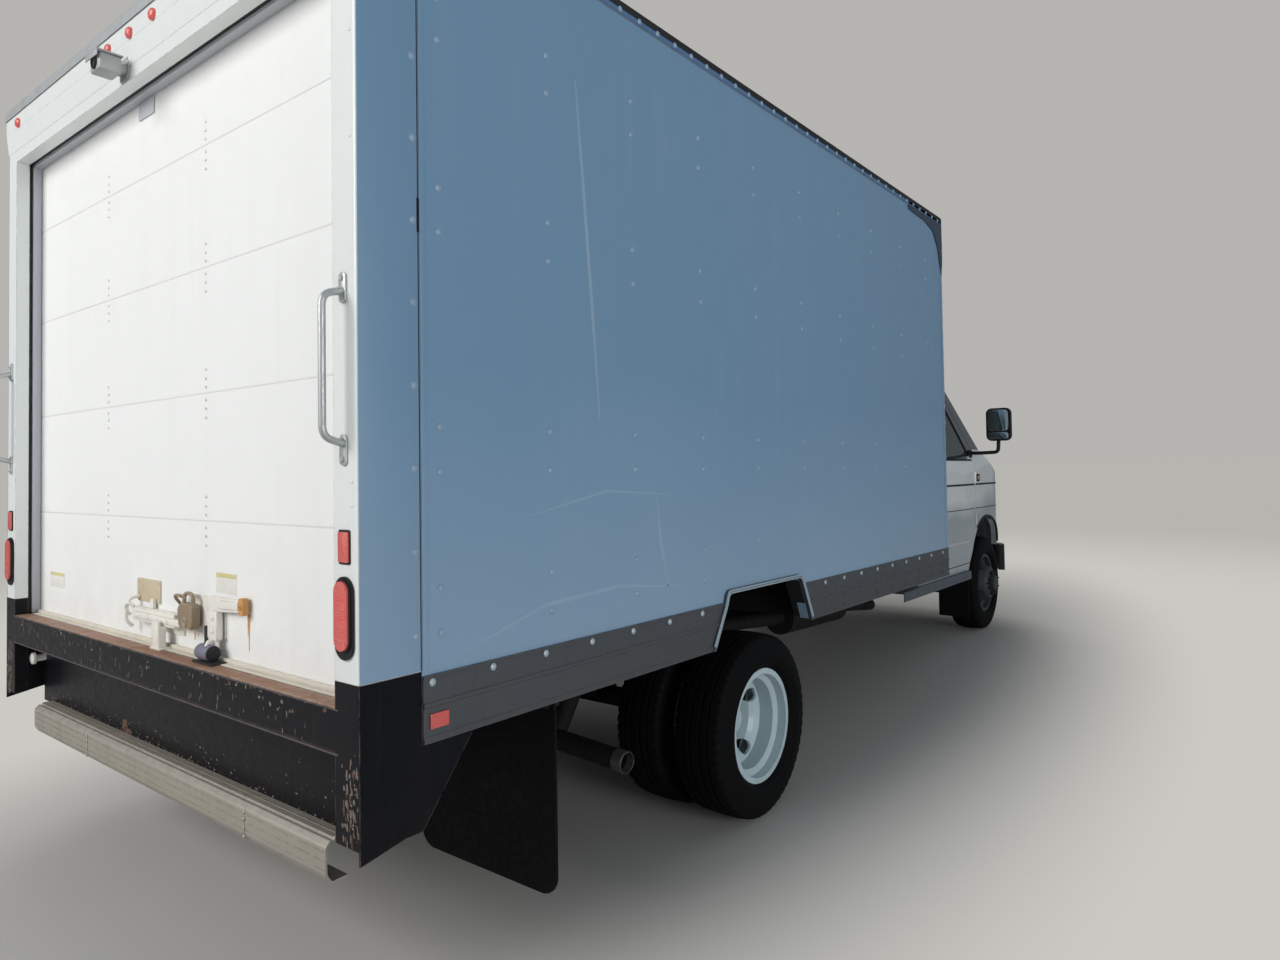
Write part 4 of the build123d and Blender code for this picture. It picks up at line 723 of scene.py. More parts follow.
# Door latch: zinc-plated lock plate with a sliding bolt and its keeper on the sill, a second handle
# on its own plate, and a hook for the strap. All bolted on; the plating has begun to rust.
def plate(mesh, outline, x0, x1, edge=0):
    """A flat plate facing the rear, cut to (y, z) points between two stations."""
    low = [mesh.verts.new((x0, y, z)) for y, z in outline]
    high = [mesh.verts.new((x1, y, z)) for y, z in outline]
    rim = [mesh.faces.new(low), mesh.faces.new(high[::-1])]
    for k in range(len(low)):
        n = (k + 1) % len(low)
        mesh.faces.new((low[n], low[k], high[k], high[n]))
    soften(mesh, {one for face in rim for one in face.edges}, edge)


def rounded(y0, y1, z0, z1, radius, steps=5):
    """The (y, z) points of a rectangle with rounded corners."""
    points = []
    for cy, cz, start in ((y1, z1, 0), (y0, z1, 90), (y0, z0, 180), (y1, z0, 270)):
        inner_y = cy - radius if cy == y1 else cy + radius
        inner_z = cz - radius if cz == z1 else cz + radius
        for k in range(steps + 1):
            angle = math.radians(start + 90 * k / steps)
            points.append((inner_y + radius * math.cos(angle), inner_z + radius * math.sin(angle)))
    return points


def swept(mesh, route, radius, bend=30, steps=12, turns=6):
    """A round bar along a route, with each corner rounded by bend."""
    route = [Vector(point) for point in route]
    path = [route[0]]
    for before, corner, after in zip(route, route[1:], route[2:]):
        start = corner + (before - corner).normalized() * min(bend, (before - corner).length / 2)
        end = corner + (after - corner).normalized() * min(bend, (after - corner).length / 2)
        for k in range(turns + 1):
            t = k / turns
            path.append((1 - t) ** 2 * start + 2 * t * (1 - t) * corner + t**2 * end)
    path.append(route[-1])
    across = across_of((path[1] - path[0]).normalized())
    rings = []
    for k, point in enumerate(path):
        ahead_run = (path[min(k + 1, len(path) - 1)] - path[max(k - 1, 0)]).normalized()
        first = (across[0] - across[0].dot(ahead_run) * ahead_run).normalized()
        across = first, ahead_run.cross(first)
        rings.append(lay_ring(mesh, point, across, radius, steps))
    loft(mesh, rings, (0, -1))


latch_plating = surface(
    "latch_plating", (0.82, 0.8, 0.74), ((0.3, 0.21, 0.13), 0.7, 1.2, 0.3), (0.32, 0.6), 110,
    runs=((0.34, 0.19, 0.1), 0.45, 2), chips=((0.22, 0.11, 0.06), 0.003, 0.8, 0.3),
)
latch = bmesh.new()
tarnished_zinc = surface(
    "tarnished_zinc", (0.58, 0.49, 0.35), ((0.3, 0.2, 0.11), 0.7, 1.2, 0.4), (0.35, 0.6), 70,
    runs=((0.78, 0.74, 0.66), 0.5, 2),
)
backing = bmesh.new()
plate(backing, rounded(13, 189, 946, 1022, 4), seat - 4, seat - 0.2, 0.8)
bolts(backing, small_form, seat - 4, [(y, z) for y in (24, 178) for z in (954, 1014)])
set_down("latch_backing", backing, tarnished_zinc)
block(latch, (seat - 16, 40, 912), (seat - 4, 62, 962), 3)
plate(latch, rounded(-160, 60, 862, 930, 8), seat - 5, seat - 0.2, 1.2)
block(latch, (seat - 33, -150, 886), (seat - 5, 158, 931), 5)
block(latch, (seat - 37, -199, 896), (seat - 14, 150, 918), 5)
bolts(latch, small_form, seat - 37, [(y, 907) for y in (-110, -40, 30, 100)])
swept(
    latch, [(seat - 4, 170, 962), (seat - 40, 176, 955), (seat - 44, 184, 884), (seat - 24, 176, 862)], 6,
    bend=20,
)
swept(
    latch, [(seat - 30, 150, 930), (seat - 46, 164, 948), (seat - 46, 186, 922), (seat - 30, 176, 900)], 5,
    bend=16,
)
plate(latch, rounded(-76, -28, 821, 905, 4), 46, 54, 1)
plate(latch, rounded(-82, -73, 821, 880, 2), 46, 68, 1)
block(latch, (42, -96, 815.3), (80, -24, 822), 1.5)
plate(latch, rounded(-190, -420, 880, 1000, 6), seat - 4, seat - 0.2, 1.2)
plate(
    latch, [(-540, 972), (-348, 958), (-340, 966), (-340, 998), (-348, 1006), (-540, 1008)], seat - 24,
    seat - 8, 3,
)
plate(latch, [(-536, 980), (-420, 974), (-420, 998), (-536, 1002)], seat - 27, seat - 22, 1.5)
plate(latch, rounded(-416, -360, 878, 966, 8), seat - 28, seat - 10, 3)
plate(latch, rounded(-412, -364, 842, 884, 6), seat - 26, seat - 18, 2)
bolts(latch, bolt_form, seat - 28, [(-388, 906), (-388, 944)])
swept(latch, [(70, -394, 838), (70, -394, 874), (54, -394, 882), (46, -394, 864)], 5, bend=12)
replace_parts(set_down("latch_set", latch, latch_plating), "door_latch")

# Padlock, handle end and rust: a weathered brass padlock on the bolt, the rusted end of the second
# handle, and the streaks that rain has drawn down the door below both.
rusty_brass = surface(
    "rusty_brass", (0.34, 0.26, 0.175), ((0.1, 0.055, 0.035), 0.7, 1.2, 0.6), (0.4, 0.7), 160,
    chips=((0.74, 0.69, 0.58), 0.005, 0.95, 0.8), Metallic=0.35,
)
padlock = bmesh.new()
plate(padlock, rounded(-282, -196, 898, 974, 10), seat - 40, seat - 14, 5)
turned(padlock, [(0, 14), (3, 14), (3, 9), (1, 8), (1, 0)], (seat - 40, -238, 918), (-1, 0, 0), steps=16)
swept(
    padlock,
    [(seat - 27, -208, 966), (seat - 27, -208, 1003), (seat - 27, -266, 1006), (seat - 27, -266, 966)], 6,
    bend=24,
)
swept(
    padlock,
    [(seat - 8, -168, 950), (seat - 40, -170, 992), (seat - 44, -196, 1000), (seat - 27, -214, 990)], 5,
    bend=16,
)
plate(padlock, rounded(-196, -168, 905, 960, 6), seat - 30, seat - 12, 3)
set_down("padlock", padlock, rusty_brass)
orange_rust = surface(
    "orange_rust", (0.6, 0.31, 0.11), ((0.2, 0.08, 0.03), 0.7, 1.2, 0.6), (0.7, 0.95), 200, relief=0.001
)
rusted = bmesh.new()
plate(rusted, rounded(-564, -539, 966, 1014, 4), seat - 26, seat - 8, 2)
turned(
    rusted, [(0, 8), (2, 8), (4, 6), (4, 4), (1.5, 3), (1.5, 0)], (seat - 26, -551, 990), (-1, 0, 0),
    steps=12,
)
streak_line = random.Random(11)
for y, top, foot, wide in (
    (-552, 966, 862, 6), (-545, 966, 905, 4), (-222, 903, 856, 9), (-244, 896, 870, 6), (-300, 900, 862, 4)
):
    left, right = [], []
    for k in range(9):
        z = top + (foot - top) * k / 8
        reach = wide * (1 - 0.75 * k / 8) * streak_line.uniform(0.7, 1.1)
        left.append((y - reach, z))
        right.append((y + reach, z))
    plate(rusted, left + right[::-1], seat - 0.5, seat + 0.2)
set_down("rusted_parts", rusted, orange_rust)

# Pull strap and roller: a loop of black webbing behind the hook, and its violet-grey rubber roller
# with a black end cap, on a black foot plate.
strap = bmesh.new()
plate(strap, rounded(-332, -306, 846, 912, 4), seat - 12, seat - 8, 1)
turned(strap, [(0, 0), (0, 22), (3, 22), (5, 19), (5, 0)], (54, -420, 846), (0, -1, 0), steps=24)
block(strap, (32, -452, 815.3), (78, -334, 822), 1.5)
set_down("pull_strap", strap, seal_rubber_and_shade)
roller_rubber = surface(
    "roller_rubber", (0.17, 0.165, 0.22), ((0.1, 0.08, 0.07), 0.7, 1, 0.4), (0.4, 0.6), 90
)
roller = bmesh.new()
turned(
    roller, [(0, 0), (0, 17), (5, 23), (38, 24), (70, 23), (74, 21), (74, 0)], (54, -346, 846), (0, -1, 0),
    steps=28,
)
set_down("hook_roller", roller, roller_rubber)


# Grab handles: galvanised tube bent at both ends, welded to flat feet with two bolts each.
handle_y = 1167
foot_rows = (1419, 1798)
handle_out = -58
pale_zinc = surface(
    "pale_zinc", (0.5, 0.52, 0.52), ((0.2, 0.17, 0.13), 0.8, 2.2, 0.35), (0.32, 0.55), 60, Metallic=0.6
)
handles = bmesh.new()
for side in (-1, 1):
    y = side * handle_y
    swept(handles, [(-5, y, 1790), (handle_out, y, 1776), (handle_out, y, 1448), (-5, y, 1434)], 9, bend=26)
    for z in foot_rows:
        plate(handles, rounded(y - 13, y + 13, z - 36, z + 36, 10), -5.5, -0.4, 1.2)
        bolts(handles, [(0, 7), (3, 7), (5, 5), (5, 0)], -5.4, [(y, z - 22), (y, z + 22)], 6)
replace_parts(set_down("bent_handles", handles, pale_zinc), "grab_handles")


# Lamps at the rear: ribbed red lenses in black oval grommets, red reflectors on the posts and
# rails, and five small red lamps on the cornice.
def glossy(name, clean, dust, rough, grain, **plain):
    """A smooth finish under a film of dust, for lenses, windows and mirrors."""
    tree, shader, made = finish(name, **plain)
    gloss = ramp(tree, use(tree, fine_grain, Scale=grain)["Value"], *rough)
    feed(tree, shader, {"Base Color": dusted(tree, (*clean, 1), dust)["Colour"], "Roughness": gloss})
    return made


def lens_finish(name, colour, ribs):
    """A moulded lens: clear coloured plastic with fine ribs and a film of dust."""
    made = glossy(
        name, colour, ((0.45, 0.34, 0.3), 0.2, 3.4, 0.25), (0.3, 0.7, 0.1, 0.3), 30,
        Transmission_Weight=0.25, IOR=1.49, Coat_Weight=0.5,
    )
    tree = made.node_tree
    spot = put(tree, "TexCoord", {}, out="Object")
    ridges = [put(tree, "TexWave", {"Vector": spot, "Scale": ribs}, bands_direction=way) for way in "ZY"]
    bump = put(tree, "Bump", {"Strength": 0.5, "Distance": 0.001, "Height": calc(tree, "ADD", *ridges)})
    feed(tree, tree.nodes["Principled BSDF"].inputs, {"Normal": bump})
    return made


red_lens = lens_finish("red_lens", (0.95, 0.14, 0.12), 60)
lenses = bmesh.new()
for side in (-1, 1):
    y = side * handle_y
    plate(lenses, rounded(y - 26, y + 26, 956, 1116, 25.9, 10), -15.5, -8, 3)
    for z in range(968, 1101, 6):
        block(lenses, (-16.4, y - 20, z), (-15.2, y + 20, z + 2.5), 0.4)
    plate(lenses, rounded(y - 19, y + 19, 1159, 1229, 3), -7.5, -3, 1)
    block(lenses, (196, side * 1224.8, 738), (254, side * 1230, 775), 2)
header_lamp_form = [(0, 19), (5, 19), (9, 16), (12, 10), (13.2, 0)]
bolts(lenses, header_lamp_form, -9.3, [(y, 2798) for y in (-1068, -170, 0, 170, 1068)], 20)
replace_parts(set_down("red_lenses", lenses, red_lens), "red_lamps")
black_plastic = surface(
    "black_plastic", (0.009, 0.009, 0.01), (dry_mud, 0.4, 1.6, 0.15), (0.4, 0.65), 180,
    Specular_IOR_Level=0.3,
)
grommets = bmesh.new()
for side in (-1, 1):
    y = side * handle_y
    plate(grommets, rounded(y - 36, y + 36, 934, 1126, 35.9, 10), -6, -0.4, 1.5)
    plate(grommets, rounded(y - 30.5, y + 30.5, 951, 1121, 30.4, 10), -10.5, -5, 2)
    plate(grommets, rounded(y - 22, y + 22, 1154, 1234, 4), -3.2, -0.4, 0.8)
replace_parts(set_down("lamp_grommets", grommets, black_plastic), "rear_fittings")

# Reversing camera: a pale cast housing under a bent visor, on one bracket below the cornice.
camera_shell = surface(
    "camera_shell", (0.38, 0.39, 0.39), ((0.2, 0.18, 0.15), 1.5, 3.3, 0.3), (0.4, 0.6), 120, Metallic=0.2
)
housing = bmesh.new()
block(housing, (-92, 20, 2664), (-24, 100, 2718), 8)
block(housing, (-104, 14, 2718), (-22, 106, 2723), 2)
block(housing, (-103, 14, 2700), (-100, 106, 2722), 1.2)
block(housing, (-26, 38, 2680), (-0.4, 82, 2706), 3)
plate(housing, rounded(28, 92, 2662, 2738, 8), -4, -0.4, 1.2)
bolts(housing, small_form, -4, [(y, z) for y in (36, 84) for z in (2670, 2730)], 8)
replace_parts(set_down("camera_housing", housing, camera_shell), "rear_fittings")
camera_eye = bmesh.new()
turned(
    camera_eye, [(0, 20), (4, 20), (6, 18), (6, 14), (3, 12), (3, 0)], (-92, 60, 2690), (-1, 0, -0.1),
    steps=24,
)
set_down("camera_eye", camera_eye, black_plastic)

# Rear sill, corner boots and skirt: folded steel in black paint, chipped to rust along every
# edge, with the top of the sill worn through where freight is dragged over it.
rust = (0.2, 0.085, 0.045)
chipped_black = surface(
    "chipped_black", (0.0046, 0.0052, 0.008), ((0.06, 0.05, 0.04), 0.3, 0.95, 0.08), (0.26, 0.42), 45,
    runs=((0.035, 0.028, 0.024), 0.3, 1.3), chips=((0.19, 0.12, 0.085), 0.004, 1, 0.08),
    Specular_IOR_Level=0.14,
)
dress(chipped_black, "rear_sill", "rear_skirt")
threshold_wear = surface(
    "threshold_wear", (0.3, 0.155, 0.095), ((0.14, 0.075, 0.045), 0.6, 1, 0.5), (0.4, 0.7), 25,
    chips=((0.45, 0.38, 0.31), 0.006, 1, 0.8), Metallic=0.2,
)
threshold = bmesh.new()
block(threshold, (1, -1120, 814.2), (58, 1120, 815.9), 0.6)
set_down("sill_threshold", threshold, threshold_wear)
pale_strip = bmesh.new()
block(pale_strip, (60, -1118, 815), (80, 1118, 817.6), 0.8)
set_down("threshold_strip", pale_strip, aged_vinyl)

# Rust: scabs where the paint has lifted, on the sill's top edge, the skirt, its foot and the boots.
rust_scab = surface(
    "rust_scab", (0.12, 0.065, 0.042), ((0.08, 0.04, 0.025), 0.2, 1.2, 0.8), (0.7, 0.95), 210, relief=0.0015
)
bare_chip = surface("bare_chip", (0.15, 0.14, 0.13), (rust, 0.2, 1.2, 0.5), (0.5, 0.8), 200)
scabs = bmesh.new()
chips = bmesh.new()
paint_loss = random.Random(7)


def scab(mesh, x, y, z, wide, tall, points=9):
    """A flake of lost paint on a face that looks to the rear."""
    outline = []
    for k in range(points):
        angle = 2 * math.pi * k / points
        reach = 0.5 * paint_loss.uniform(0.55, 1)
        outline.append((y + wide * reach * math.cos(angle), z + tall * reach * math.sin(angle)))
    plate(mesh, outline, x - 0.35, x + 0.3)


scab(scabs, 106, 328, 494, 62, 58, 14)
scab(scabs, 106, 318, 478, 78, 26, 12)
between = paint_loss.uniform
for k in range(60):
    y = between(-1130, 1130)
    scab(
        paint_loss.choice((scabs, chips)), 0, y, 812 - paint_loss.random() ** 2 * 40, between(4, 22),
        between(3, 16),
    )
for k in range(170):
    y = between(-1110, 1110) if k % 2 else paint_loss.gauss(100, 500)
    if abs(y) < 1110:
        z = 472 + paint_loss.random() ** 3 * 60
        scab(paint_loss.choice((scabs, chips)), 106, y, z, between(3, 15), between(2, 9))
for k in range(84):
    scab(chips, 0, between(-1130, 1130), between(718, 800), between(2, 6), between(6, 30))
for k in range(40):
    scab(chips, 106, between(-1110, 1110), between(480, 690), between(3, 7), between(3, 7))
for side in (-1, 1):
    for k in range(80):
        y, z = side * (1150 + paint_loss.random() * 62), 500 + paint_loss.random() * 205
        scab(chips if k % 3 else scabs, 0, y, z, between(3, 12), between(6, 30))
set_down("rust_scabs", scabs, rust_scab)
set_down("bare_chips", chips, bare_chip)

# Sill edges and bolts: bluish-grey bars along the sill's folded edges are a painted highlight, chipped
# where the paint is worn; black bolts hold the boots to it, and a pale plastic stop stands beside the left
# boot.
sill_fixings = bmesh.new()
bolts(sill_fixings, small_form, 0, [(side * 1200, z) for side in (-1, 1) for z in (560, 640, 720, 840)], 8)
set_down("sill_bolts", sill_fixings, chipped_black)
highlight_and_worn_edge = surface(
    "highlight_and_worn_edge", (0.04, 0.043, 0.055), (rust, 0.3, 1, 0.2), (0.3, 0.5), 60,
    chips=((0.19, 0.12, 0.085), 0.004, 1, 0.3),
)
sill_edges = bmesh.new()
swept(sill_edges, [(1.5, -1134, 709), (1.5, 1134, 709)], 3.2, steps=8)
swept(sill_edges, [(1.5, -1134, 812.5), (1.5, 1134, 812.5)], 2.4, steps=8)
set_down("sill_edges", sill_edges, highlight_and_worn_edge)
knob = bmesh.new()
turned(
    knob, [(0, 0), (0, 14), (34, 14), (38, 24), (48, 23), (53, 15), (53, 0)], (106, 1112, 634), (-1, 0, 0),
    steps=20,
)
set_down("boot_plug", knob, faded_label)

# Step bumper: galvanised roll-formed step, with a pressed ridge, two bolted splices and rust
# where shoes and freight have worn the ledge.
step_zinc = surface(
    "step_zinc", (0.42, 0.39, 0.34), ((0.16, 0.135, 0.105), 0.2, 0.62, 0.4), (0.35, 0.6), 40,
    runs=((0.22, 0.15, 0.09), 0.35, 1.5), chips=((0.22, 0.12, 0.065), 0.005, 0.6, 0.2), Metallic=0.5,
)
dress(step_zinc, "step_bumper")
bumper_face = 39.5
splices = bmesh.new()
for y in (480, -625):
    block(splices, (bumper_face - 1.2, y - 1.5, 372), (bumper_face + 0.3, y + 1.5, 448), 0.5)
    bolts(
        splices, [(0, 6), (2, 6), (3.5, 4), (3.5, 0)], bumper_face - 0.4,
        [(y, z) for z in (378, 402, 426, 444)], 8,
    )
for z in (396, 418, 440):
    block(splices, (bumper_face - 1.2, -1010, z - 2), (bumper_face + 0.4, 1010, z + 2), 0.8)
for x in (62, 80):
    block(splices, (x, -1008, 470), (x + 4, 1008, 471.6), 0.6)
set_down("bumper_splices", splices, step_zinc)

# Mud flaps: black rubber sheet hung from a bar by a clamp strip and four bolts.
flap_rubber = surface(
    "flap_rubber", (0.006, 0.006, 0.007), (dry_mud, 0.1, 0.65, 0.1), (0.45, 0.75), 60, swell=4,
    relief=0.002, Specular_IOR_Level=0.1,
)
dress(flap_rubber, "mudflaps")
clamps = bmesh.new()
for side in (-1, 1):
    block(clamps, (671, side * 600, 672), (675.8, side * 1172, 700), 1.2)
    bolts(clamps, bolt_form, 671, [(side * y, 686) for y in (640, 800, 960, 1120)], 8)
# The clamps take the same near-black zinc, a painted shade.
set_down("flap_clamps", clamps, shade_dark_zinc)

# Rub rails: aluminium extrusion gone dull and streaked brown, bolted along its upper lip, and in
# pairs ahead of the wheel.
rub_metal = surface(
    "rub_metal", (0.085, 0.095, 0.108), ((0.105, 0.085, 0.068), 0.5, 1, 0.7), (0.35, 0.6), 45,
    runs=((0.045, 0.037, 0.031), 0.5, 1.4), chips=((0.3, 0.29, 0.28), 0.003, 0.6, 0.2), Metallic=0.35,
)
dress(rub_metal, "side_trims")
rub_bolt_form = [(-0.5, 10), (2.5, 10), (5, 7), (6, 3), (6.2, 0)]
arch_gap = (1480, 2300)
rail_bolts = bmesh.new()
rail_pairs = bmesh.new()
for side in (-1, 1):
    for x in range(205, 4063, 203):
        if not arch_gap[0] < x < arch_gap[1]:
            turned(rail_bolts, rub_bolt_form, (x, side * 1224.2, 851), (0, side, 0), steps=14)
        if x > arch_gap[1]:
            for z in (736, 790):
                turned(rail_pairs, rub_bolt_form, (x, side * 1224.2, z), (0, side, 0), steps=8)
pale_bolt = surface(
    "pale_bolt", (0.46, 0.55, 0.6), ((0.15, 0.12, 0.1), 0.6, 1.1, 0.35), (0.3, 0.5), 150, Metallic=0.2
)
set_down("rub_rail_bolts", rail_bolts, pale_bolt)
set_down("rub_rail_pairs", rail_pairs, rub_metal)

# Arch trims: bright extrusion with two ridges, bent round each rear wheel opening.
arch_metal = surface(
    "arch_metal", (0.36, 0.45, 0.52), ((0.1, 0.1, 0.1), 0.5, 1.1, 0.35), (0.3, 0.5), 60,
    runs=((0.1, 0.11, 0.12), 0.4, 1.2),
)
arch_line = [(1500, 716), (1589, 862), (1600, 898), (2190, 898), (2215, 850), (2283, 716)]


def beside(points, out):
    """The same line moved sideways by out, square to its runs."""
    moved = []
    for k, (x, z) in enumerate(points):
        normals = []
        for p, q in ((k - 1, k), (k, k + 1)):
            if p >= 0 and q < len(points):
                run = Vector((points[q][0] - points[p][0], points[q][1] - points[p][1])).normalized()
                normals.append(Vector((-run.y, run.x)))
        middle = sum(normals, Vector((0, 0))).normalized()
        moved.append(
            (x + middle.x * out / middle.dot(normals[0]), z + middle.y * out / middle.dot(normals[0]))
        )
    return moved


ridges = bmesh.new()
for side in (-1, 1):
    for out, thick in ((3.6, 3.4), (12.2, 3.8)):
        swept(ridges, [(x, side * 1233, z) for x, z in beside(arch_line, out)], thick, bend=24, steps=8)
set_down("arch_ridges", ridges, arch_metal)
liners = bmesh.new()
outer, inner = beside(arch_line, -0.6), beside(arch_line, -2.2)
for side in (-1, 1):
    for k in range(len(outer) - 1):
        corners = (outer[k], outer[k + 1], inner[k + 1], inner[k])
        loft(
            liners, [[liners.verts.new((x, side * y, z)) for x, z in corners] for y in (1150, 1218.6)],
            (0, -1),
        )
set_down("arch_liners", liners, mastic)

# Roof corner caps: dark castings that close the roof rail at the front and run down the corner post.
box_length = 4267
corner_radius = 90
corner_caps = bmesh.new()
cap_x, cap_y = box_length - corner_radius, wall_half - corner_radius
cap_line = [
    (3630, 2880), (3630, 2814), (3894, 2804), (4032, 2774), (4117, 2688), (4163, 2550), (4177, 2530),
    (4177, 2880),
]
for side in (-1, 1):
    rings = []
    for k in range(11):
        angle = math.radians(9 * k)
        low_z = 2560 + 250 * max(0, 1 - k / 4) ** 1.5
        ring = []
        for reach, z in ((5.6, 2881), (5.6, low_z), (0.6, low_z), (0.6, 2881)):
            out = corner_radius + reach
            x, y = cap_x + out * math.sin(angle), cap_y + out * math.cos(angle)
            ring.append(corner_caps.verts.new((x, side * y, z)))
        rings.append(ring)
    loft(corner_caps, rings, (0, -1))
    sides = [
        [corner_caps.verts.new((x, side * (wall_half + y), z)) for x, z in cap_line] for y in (5.6, 0.6)
    ]
    loft(corner_caps, sides, (0, -1))
cap_paint = surface("cap_paint", (0.02, 0.04, 0.075), ((0.1, 0.1, 0.1), 2, 3.2, 0.2), (0.3, 0.5), 60)
set_down("corner_caps", corner_caps, cap_paint)

# Tail pipe tip: the end of the pipe, scoured bright outside and sooty inside.
pipe_end = Vector((1245, -1015, 330))
pipe_run = (pipe_end - Vector((1262, -650, 345))).normalized()
tip_steel = surface(
    "tip_steel", (0.14, 0.14, 0.145), ((0.05, 0.045, 0.04), 0.2, 0.6, 0.4), (0.35, 0.6), 80, Metallic=0.6
)
pipe_tip = bmesh.new()
turned(
    pipe_tip, [(-46, 38.1), (-46, 38.9), (-1, 38.9), (0.6, 36.5), (-1, 34), (-30, 33.9)], pipe_end,
    pipe_run, steps=36,
)
set_down("pipe_tip", pipe_tip, tip_steel)


# Cab and hood: pressed steel in gloss white over a black floor pan; round the windows it is painted black,
# a painted shade. Below the sill line a blue-grey, painted shade where the body turns under, greys the
# panels, with road dust lowest; a thin black moulding runs along doors and fenders.
cab_enamel_and_shade = surface(
    "cab_enamel_and_shade", (0.78, 0.81, 0.81), ((0.2, 0.19, 0.18), 0.45, 0.9, 0.25), (0.12, 0.25), 20,
    shading=((0.25, 0.3, 0.34), 1.22, 1.36, 0.85), runs=((0.6, 0.6, 0.58), 0.15, 0.8), swell=3, relief=0.0005,
    Coat_Weight=0.6, Coat_Roughness=0.08,
)
# Black above the belt round the windows: painted shade on the white frames and pillars.
tree, given, give, place = effect("above_belt", {}, "Mask")
above_belt = tree
belt_line, cowl_line, roof_line, cab_rear = 1.435, 1.487, 2.1, 4.492
ahead_of, rise = (put(tree, "SeparateXYZ", {0: place}, out=k) for k in (0, 2))
over = calc(tree, "GREATER_THAN", rise, ramp(tree, ahead_of, 5.565, 5.575, belt_line, cowl_line))
under = calc(tree, "LESS_THAN", rise, roof_line)
inside = calc(tree, "GREATER_THAN", ahead_of, cab_rear)
feed(tree, give, {"Mask": times(tree, over, under, inside)})
tree = cab_enamel_and_shade.node_tree
shader = tree.nodes["Principled BSDF"].inputs
enamel_colour = shader["Base Color"].links[0].from_socket
shade_black = mix(tree, use(tree, above_belt)["Mask"], enamel_colour, (0.01, 0.01, 0.011, 1))
feed(tree, shader, {"Base Color": shade_black})
dress(cab_enamel_and_shade, "cab_body", "hood", "left_door", "right_door")
cab_pan = surface("cab_pan", (0.02, 0.02, 0.021), (dry_mud, 0.5, 1, 0.2), (0.5, 0.75), 90)
dress(cab_pan, "cab_floor")
skins = {}


def land(node, start, aim):
    """Where a line from start along aim, level and in mm, meets a CAD node, and its outward side there."""
    if node not in skins:
        data = frame["nodes"][node].data
        skins[node] = BVHTree.FromPolygons(
            [v.co for v in data.vertices], [p.vertices for p in data.polygons]
        )
    begin = parked @ (Vector(start) * 0.001)
    along = (parked.to_3x3() @ Vector(aim)).normalized()
    hit, normal = skins[node].ray_cast(begin, along)[:2]
    if hit is None:
        return None
    outward = (parked.to_3x3().inverted() @ normal).normalized()
    return (parked.inverted() @ hit) * 1000, outward


def land_beside(node, side, x, z):
    """Where a level line from beside the truck meets a CAD node."""
    return land(node, (x, side * 1400, z), (0, -side, 0))


def moulding(mesh, node, side, x0, x1, z, half, proud, step=40):
    """A rubbing strip laid on a panel's side, from x0 to x1."""
    rings = []
    count = max(2, round((x1 - x0) / step))
    for k in range(count + 1):
        x = x0 + (x1 - x0) * k / count
        low, high = land_beside(node, side, x, z - half), land_beside(node, side, x, z + half)
        if low is None or high is None or abs(low[0].y) < 600 or abs(high[0].y) < 600:
            continue
        end = 0.25 if k in (0, count) else 1
        out = Vector((0, side * proud * end, 0))
        rows = [low[0], low[0] + 0.8 * out + Vector((0, 0, 2)), low[0].lerp(high[0], 0.5) + out]
        rows += [high[0] + 0.8 * out - Vector((0, 0, 2)), high[0]]
        rings.append([mesh.verts.new(row) for row in rows])
    for first, second in zip(rings, rings[1:]):
        for a, b, c, d in zip(first, first[1:], second[1:], second):
            mesh.faces.new((a, b, c, d))
    for ring in (rings[0], rings[-1]):
        mesh.faces.new(ring)


trim_black = surface(
    "trim_black", (0.01, 0.01, 0.011), (dry_mud, 0.4, 1.8, 0.15), (0.35, 0.6), 170, Specular_IOR_Level=0.15
)
for side, name in ((-1, "right"), (1, "left")):
    for body, node, piece, runs in (
        ("truck", "cab_body", "truck_" + name, ((4345, 4478), (5575, 6330))),
        (name + "_door", name + "_door", name + "_door", ((4502, 5548),)),
    ):
        strips = bmesh.new()
        for x0, x1 in runs:
            moulding(strips, node, side, x0, x1, 1226, 7, 5)
            moulding(strips, node, side, x0, x1, 1047, 3, 2)
        set_down(piece + "_moulding", strips, trim_black, body)

# Arch lips: a round black rubber bead pressed onto the edge of each front wheel opening.
arch_lips = bmesh.new()
arch_x, arch_z, arch_reach = front_wheel[0], front_wheel[1] + 40, 477
for side in (-1, 1):
    lip_path = []
    for k in range(25):
        angle = math.radians(4 + 136 / 24 * k)
        x, z = arch_x + arch_reach * math.cos(angle), arch_z + arch_reach * math.sin(angle)
        spot = land_beside("cab_body", side, x, z)
        if spot and abs(spot[0].y) > 600:
            lip_path.append(spot[0] + Vector((0, side * 2, 0)))
    swept(arch_lips, lip_path, 9, bend=6, steps=8, turns=2)
set_down("arch_lips", arch_lips, trim_black)

# Door handles, lock and window seals: black paddles in a cup, and rubber along the belt.
for side, name in ((-1, "right"), (1, "left")):
    node = name + "_door"
    fittings = bmesh.new()
    moulding(fittings, node, side, 4545, 5520, 1408, 7, 7)
    y = land_beside(node, side, 4610, 1310)[0].y
    block(fittings, (4562, y - side * 2, 1278), (4700, y + side * 3, 1342), 2.4)
    block(fittings, (4578, y + side * 2, 1300), (4688, y + side * 24, 1324), 7)
    turned(fittings, [(0, 13), (3, 13), (4, 11), (4, 0)], (4724, y, 1310), (0, side, 0), steps=20)
    set_down(name + "_door_fittings", fittings, trim_black, node)
    # A pale strip along each door's foot: a painted highlight on the sill's edge.
    sill_highlight_strip = bmesh.new()
    moulding(sill_highlight_strip, node, side, 4560, 5370, 812, 9, 4)
    set_down(name + "_door_sill_highlight_strip", sill_highlight_strip, lip_vinyl_and_highlight, node)

